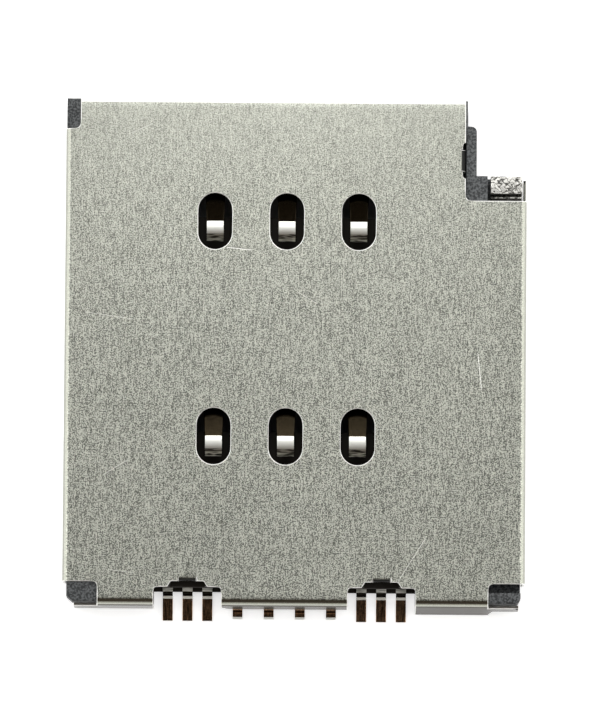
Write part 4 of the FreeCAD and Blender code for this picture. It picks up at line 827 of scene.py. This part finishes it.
def plated_strip():
    """Bronze strip with a thin gold flash, brown where it mirrors the room. Dull nickel covers the
    contact points, and nickel colour on the tips of the switch's feet is a painted highlight. The
    shoulders of the tails are matt tin, painted light in part as a painted highlight, and a
    painted highlight line lies across their lower bends. The raised beams and the drops of the
    tails are painted near black, darker lower down, as painted shade. The tips of the beams are
    ridged across."""
    material, tree, place, axes = new_material("plated_strip")
    raised = zone(tree, axes["Z"], *RAISED)
    crown = both(tree, raised, at_windows(tree, axes["Y"], *CROWN_PLATED))
    tip = both(tree, raised, at_windows(tree, axes["Y"], *TIP_PLATED))
    # painted highlight: a light tin-coloured line across the lower bend of each tail
    line = stripe(tree, axes["Y"], *TAIL_HIGHLIGHT_LINE)
    tin_and_highlight = either(tree, stripe(tree, axes["Y"], *SHOULDER_TIN_AND_HIGHLIGHT), line)
    # the drop of each tail takes the painted shade of the beams
    slope = stripe(tree, axes["Y"], TAIL_HIGHLIGHT_LINE[1], LEDGE - 0.02)
    inner = zone(tree, calculate(tree, "ABSOLUTE", axes["X"]), NOTCHES[1] - NOTCH_HALF,
                 NOTCHES[1] - NOTCH_HALF - 0.1)
    # painted highlight: nickel colour on the tips of the middle feet
    foot_tip_highlight = both(tree, zone(tree, axes["Y"], FOOT_HIGHLIGHT_START, FOOT_HIGHLIGHT_START - 0.01), inner)
    nickel_and_highlight = either(tree, either(tree, crown, tin_and_highlight), foot_tip_highlight)
    grain = add(tree, "ShaderNodeGroup", {"Place": place, "Streak Scale": (26000, 2500, 9000),
                                          "Speck Scale": 16000}, node_tree=GRAIN).outputs
    rolled = add(tree, "ShaderNodeVectorMath", {0: place, 1: (2500, 24000, 24000)},
                 operation="MULTIPLY").outputs[0]
    worn = ramp(tree, noise(tree, rolled, 1.0, 1.0), 0.40, 0.60)
    bronze = blend(tree, ramp(tree, grain["Streaks"], 0.38, 0.66), BRONZE_DARK, BRONZE_LIGHT)
    # painted shade: near black on the raised beams and the tails' drops, darker lower down
    shaded_blade = blend(tree, zone(tree, axes["Z"], 0.85, 1.32), BLADE_SHADE_LOW, BLADE_SHADE_HIGH)
    strip = blend(tree, either(tree, slope, raised), bronze, shaded_blade)
    ridged = blend(tree, tip, strip, blend(tree, worn, TIP_DARK, TIP_LIGHT))
    # matt tin on the shoulders and on the painted highlight line, light and not metallic
    tin = blend(tree, either(tree, worn, line), TIN_DARK, TIN_LIGHT_AND_HIGHLIGHT)
    colour = blend(tree, tin_and_highlight, blend(tree, nickel_and_highlight, ridged, NICKEL_AND_HIGHLIGHT), tin)
    smooth = ramp(tree, grain["Specks"], 0.3, 0.7, 0.12, 0.20)
    rough = between(tree, either(tree, nickel_and_highlight, tip), smooth, 0.36)
    finish_material(tree, {"Base Color": colour, "Metallic": rest_of(tree, tin_and_highlight),
                           "Roughness": rough,
                           "Normal": bump(tree, grain["Streaks"], STRIP_RELIEF)})
    return material


PLATING = plated_strip()
CONTACTS = (("supply", -PITCH, 1, -LANE_OUTER, -TAIL_PLACE - TAIL_PITCH),
            ("ground", -PITCH, -1, -LANE_MIDDLE, -TAIL_PLACE),
            ("reset", 0, 1, -PITCH / 2, -TAIL_PLACE + TAIL_PITCH),
            ("programming", 0, -1, PITCH / 2, TAIL_PLACE - TAIL_PITCH),
            ("data", PITCH, -1, LANE_MIDDLE, TAIL_PLACE),
            ("clock", PITCH, 1, LANE_OUTER, TAIL_PLACE + TAIL_PITCH))
for name, column, row, lane, tail in CONTACTS:
    root = row * ROWS / 2 + BEAM_LENGTH
    lead = flat_block(lead_outline(column, root, lane, tail), STRIP_MIDDLE - STRIP / 2,
                      STRIP_MIDDLE + STRIP / 2)
    contact = make_object(f"{name}_contact", *join([beam_solid(column, row), lead,
                                                    tail_solid(tail)]))
    outward(contact)
    contact.data.set_sharp_from_angle(angle=math.radians(12))
    contact.data.materials.append(PLATING)
    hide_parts(f"contact_{name}")
    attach(contact, "socket")

# The card switch: two springs, stamped and formed from the contacts' plated strip and held in
# the rear wall, each with two short feet on the board.

for node in ("detect_spring", "detect_anvil"):
    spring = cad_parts[node]
    spring.data.materials.clear()
    spring.data.materials.append(PLATING)

# The ejector: a sintered push rod with a rough, bright head, a stamped bell crank and its pin.
# The rod lies in a channel of the base, and the pin on which the crank turns is pressed into it.

ROD_ROUND = 0.03
# the shank's painted shade and its painted highlight line
SHANK_REAR, SHANK_FRONT, SHANK_HIGHLIGHT = 4.10, 4.87, (4.75, 4.76)
LUMP_RELIEF = 0.00001                        # in metres
PORE, LUMP, SHANK_SHADE = (0.07, 0.068, 0.062, 1), (0.72, 0.71, 0.67, 1), (0.035, 0.034, 0.031, 1)


def sintered_steel():
    """Unpolished sintered steel: coarse bright lumps, with dark pores where two lumps meet, at the
    middle of the noise. The shank is painted dark as painted shade, with one painted highlight
    line across it."""
    material, tree, place, axes = new_material("sintered_steel")
    lumps = noise(tree, place, 6500.0, 1.5, distortion=0.6)
    seam = calculate(tree, "ABSOLUTE", calculate(tree, "SUBTRACT", lumps, 0.5))
    solid = ramp(tree, seam, 0.015, 0.085)
    # painted shade on the shank where it enters the channel, broken by one painted highlight line
    shank_shade = both(tree, zone(tree, axes["Y"], SHANK_FRONT + 0.02, SHANK_FRONT),
                 zone(tree, axes["Y"], SHANK_REAR - 0.10, SHANK_REAR))
    line = stripe(tree, axes["Y"], *SHANK_HIGHLIGHT, soft=0.03)
    colour = blend(tree, both(tree, shank_shade, rest_of(tree, line)),
                   blend(tree, solid, PORE, LUMP), SHANK_SHADE)
    finish_material(tree, {"Base Color": colour, "Metallic": 1.0,
                           "Roughness": ramp(tree, lumps, 0.35, 0.65, 0.42, 0.25),
                           "Normal": bump(tree, solid, LUMP_RELIEF)})
    return material


rod = soft_copy("eject_rod", "push_rod", ROD_ROUND)
rod.data.materials.append(sintered_steel())
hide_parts("eject_rod")
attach(rod, "rod")
for node in ("eject_lever", "lever_pin"):
    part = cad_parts[node]
    part.data.materials.clear()
    part.data.materials.append(cover.data.materials[0])

# The table under it: plain white paper. Under the socket its colour is painted dark grey as
# painted shade, and it shows white to the camera and in mirrors from just inside the outline on.

TABLE = 0.5              # half its side, in metres
CLEAR_X, CLEAR_Y, CLEAR_STEP = 7.4, 7.8, 5.15          # the painted shade ends from here outward
CLEAR_RISE = 0.15
TABLE_GLOW = 0.62
table_mesh = bpy.data.meshes.new("table")
table_mesh.from_pydata([(-TABLE, -TABLE, 0), (TABLE, -TABLE, 0), (TABLE, TABLE, 0),
                        (-TABLE, TABLE, 0)], [], [(0, 1, 2, 3)])
table = bpy.data.objects.new("table", table_mesh)
bpy.context.scene.collection.objects.link(table)
table_material, tree, _, axes = new_material("white_table")
rays = add(tree, "ShaderNodeLightPath").outputs
seen = either(tree, either(tree, rays["Is Camera Ray"], rays["Is Glossy Ray"]),
              rays["Is Transmission Ray"])
around = [calculate(tree, "SUBTRACT", calculate(tree, "ABSOLUTE", axes[axis]), edge * MM)
          for axis, edge in (("X", CLEAR_X), ("Y", CLEAR_Y))]
stepped = [calculate(tree, "SUBTRACT", axes[axis], edge * MM)
           for axis, edge in (("X", NOSE_RIGHT), ("Y", CLEAR_STEP))]
beyond = either(tree, either(tree, *around), calculate(tree, "MINIMUM", *stepped))
outside_painted_shade = zone(tree, beyond, 0.0, CLEAR_RISE)
# painted shade: the paper is dark grey under the socket
tone = blend(tree, outside_painted_shade, (0.10, 0.10, 0.10, 1), (0.80, 0.80, 0.80, 1))
paper = add(tree, "ShaderNodeBsdfDiffuse", {"Color": tone}).outputs[0]
glow = add(tree, "ShaderNodeEmission", {"Color": (1, 1, 1, 1), "Strength": TABLE_GLOW}).outputs[0]
lit_paper = add(tree, "ShaderNodeAddShader", {0: paper, 1: glow}).outputs[0]
table_shader = add(tree, "ShaderNodeMixShader", {0: both(tree, seen, outside_painted_shade), 1: paper,
                                                 2: lit_paper})
add(tree, "ShaderNodeOutputMaterial", {"Surface": table_shader.outputs[0]})
table_mesh.materials.append(table_material)

# The light tent round it: white walls, a bright ring round the hole in its roof that the camera
# looks through, a dim room seen above the walls, and a rear side that is dim but for its foot.

RING_LEVEL = 1.04
RING = (1, 1, 1)
REAR_LOW = (0.85, 0.82, 0.77)
ROOM = (0.090, 0.072, 0.056)
HOLE = (0.024, 0.021, 0.018)
WALL = (2.0, 2.0, 1.97)
# each angle from straight up with the colour there, from the walls inwards
RING_STEPS = ((61, WALL), (56, ROOM), (31, ROOM), (27, RING), (10, RING), (7.5, HOLE))
# between these parts of a direction the side walls, the rear side and its dim top set in
FLANK, REARWARD, REAR_RISE = (0.37, 0.47), (-0.12, -0.25), (0.30, 0.36)
world = bpy.data.worlds.new("light_tent")
bpy.context.scene.world = world
world.use_nodes = True
tree = world.node_tree
tree.nodes.clear()
sky = add(tree, "ShaderNodeTexCoord").outputs["Generated"]
axes = add(tree, "ShaderNodeSeparateXYZ", {0: sky}).outputs
rings = add(tree, "ShaderNodeValToRGB", {0: axes["Z"]})
steps = rings.color_ramp.elements
while len(steps) > 1:
    steps.remove(steps[-1])
steps[0].position, steps[0].color = 0.0, (*WALL, 1)
for angle, colour in RING_STEPS:
    step = steps.new(math.cos(math.radians(angle)))
    step.color = (*colour, 1)
flank = ramp(tree, calculate(tree, "ABSOLUTE", axes["X"]), *FLANK)
walled = blend(tree, flank, rings.outputs[0], (*WALL, 1))
rear_side = blend(tree, ramp(tree, axes["Z"], *REAR_RISE), (*REAR_LOW, 1), (*ROOM, 1))
dimmed = blend(tree, ramp(tree, axes["Y"], *REARWARD), walled, rear_side)
rays = add(tree, "ShaderNodeLightPath").outputs
shown = blend(tree, rays["Is Camera Ray"], dimmed, (1 / RING_LEVEL,) * 3 + (1,))
background = add(tree, "ShaderNodeBackground", {"Color": shown, "Strength": RING_LEVEL})
add(tree, "ShaderNodeOutputWorld", {"Surface": background.outputs[0]})

# A small soft lamp high up beyond the mouth, aimed at the front half of the cover. It makes the
# plate brighter towards the mouth than towards the rear.

LAMP_PLACE, LAMP_AIM = Vector((0.0, 0.028, 0.062)), Vector((0, 0.004, 0))      # in metres
LAMP_SIZE, LAMP_POWER = 0.014, 0.0055
lamp_data = bpy.data.lights.new("soft_lamp", "AREA")
lamp_data.shape = "SQUARE"
lamp_data.size = LAMP_SIZE
lamp_data.energy = LAMP_POWER
lamp = bpy.data.objects.new("soft_lamp", lamp_data)
lamp.location = LAMP_PLACE
lamp.rotation_euler = (LAMP_AIM - LAMP_PLACE).to_track_quat("-Z", "Y").to_euler()
bpy.context.scene.collection.objects.link(lamp)

# The camera looks straight down from slightly behind the socket. Its scale and place come from
# the contact windows, whose pitch is known, and from where their middle lies in the photograph.

PIXELS_PER_MM = 28.35
IMAGE_WIDTH, IMAGE_HEIGHT = 600, 720
GRID_X, GRID_Y = 286.3, 328.7
CAMERA_DISTANCE, CAMERA_TILT, CAMERA_ROLL = 300.0, math.radians(5.2), 0.0075
SENSOR = 24.0
offset_x = (IMAGE_WIDTH / 2 - GRID_X) / PIXELS_PER_MM
offset_y = (GRID_Y - IMAGE_HEIGHT / 2) / PIXELS_PER_MM
target = Vector((offset_x - CAMERA_ROLL * offset_y, offset_y + CAMERA_ROLL * offset_x, COVER_TOP))
back = Vector((0, -math.sin(CAMERA_TILT), math.cos(CAMERA_TILT)))
level = Vector((1, CAMERA_ROLL, 0))
rightward = (level - back * level.dot(back)).normalized()
upward = back.cross(rightward)
camera_data = bpy.data.cameras.new("camera")
camera_data.sensor_fit = "VERTICAL"
camera_data.sensor_height = SENSOR
camera_data.lens = SENSOR * CAMERA_DISTANCE * PIXELS_PER_MM / IMAGE_HEIGHT
camera_data.clip_start = 0.001
camera = bpy.data.objects.new("camera", camera_data)
turn = Matrix((rightward, upward, back)).transposed().to_4x4()
camera.matrix_world = Matrix.Translation((target + back * CAMERA_DISTANCE) * MM) @ turn
bpy.context.scene.collection.objects.link(camera)
bpy.context.scene.camera = camera
bpy.context.scene.view_settings.view_transform = "Standard"
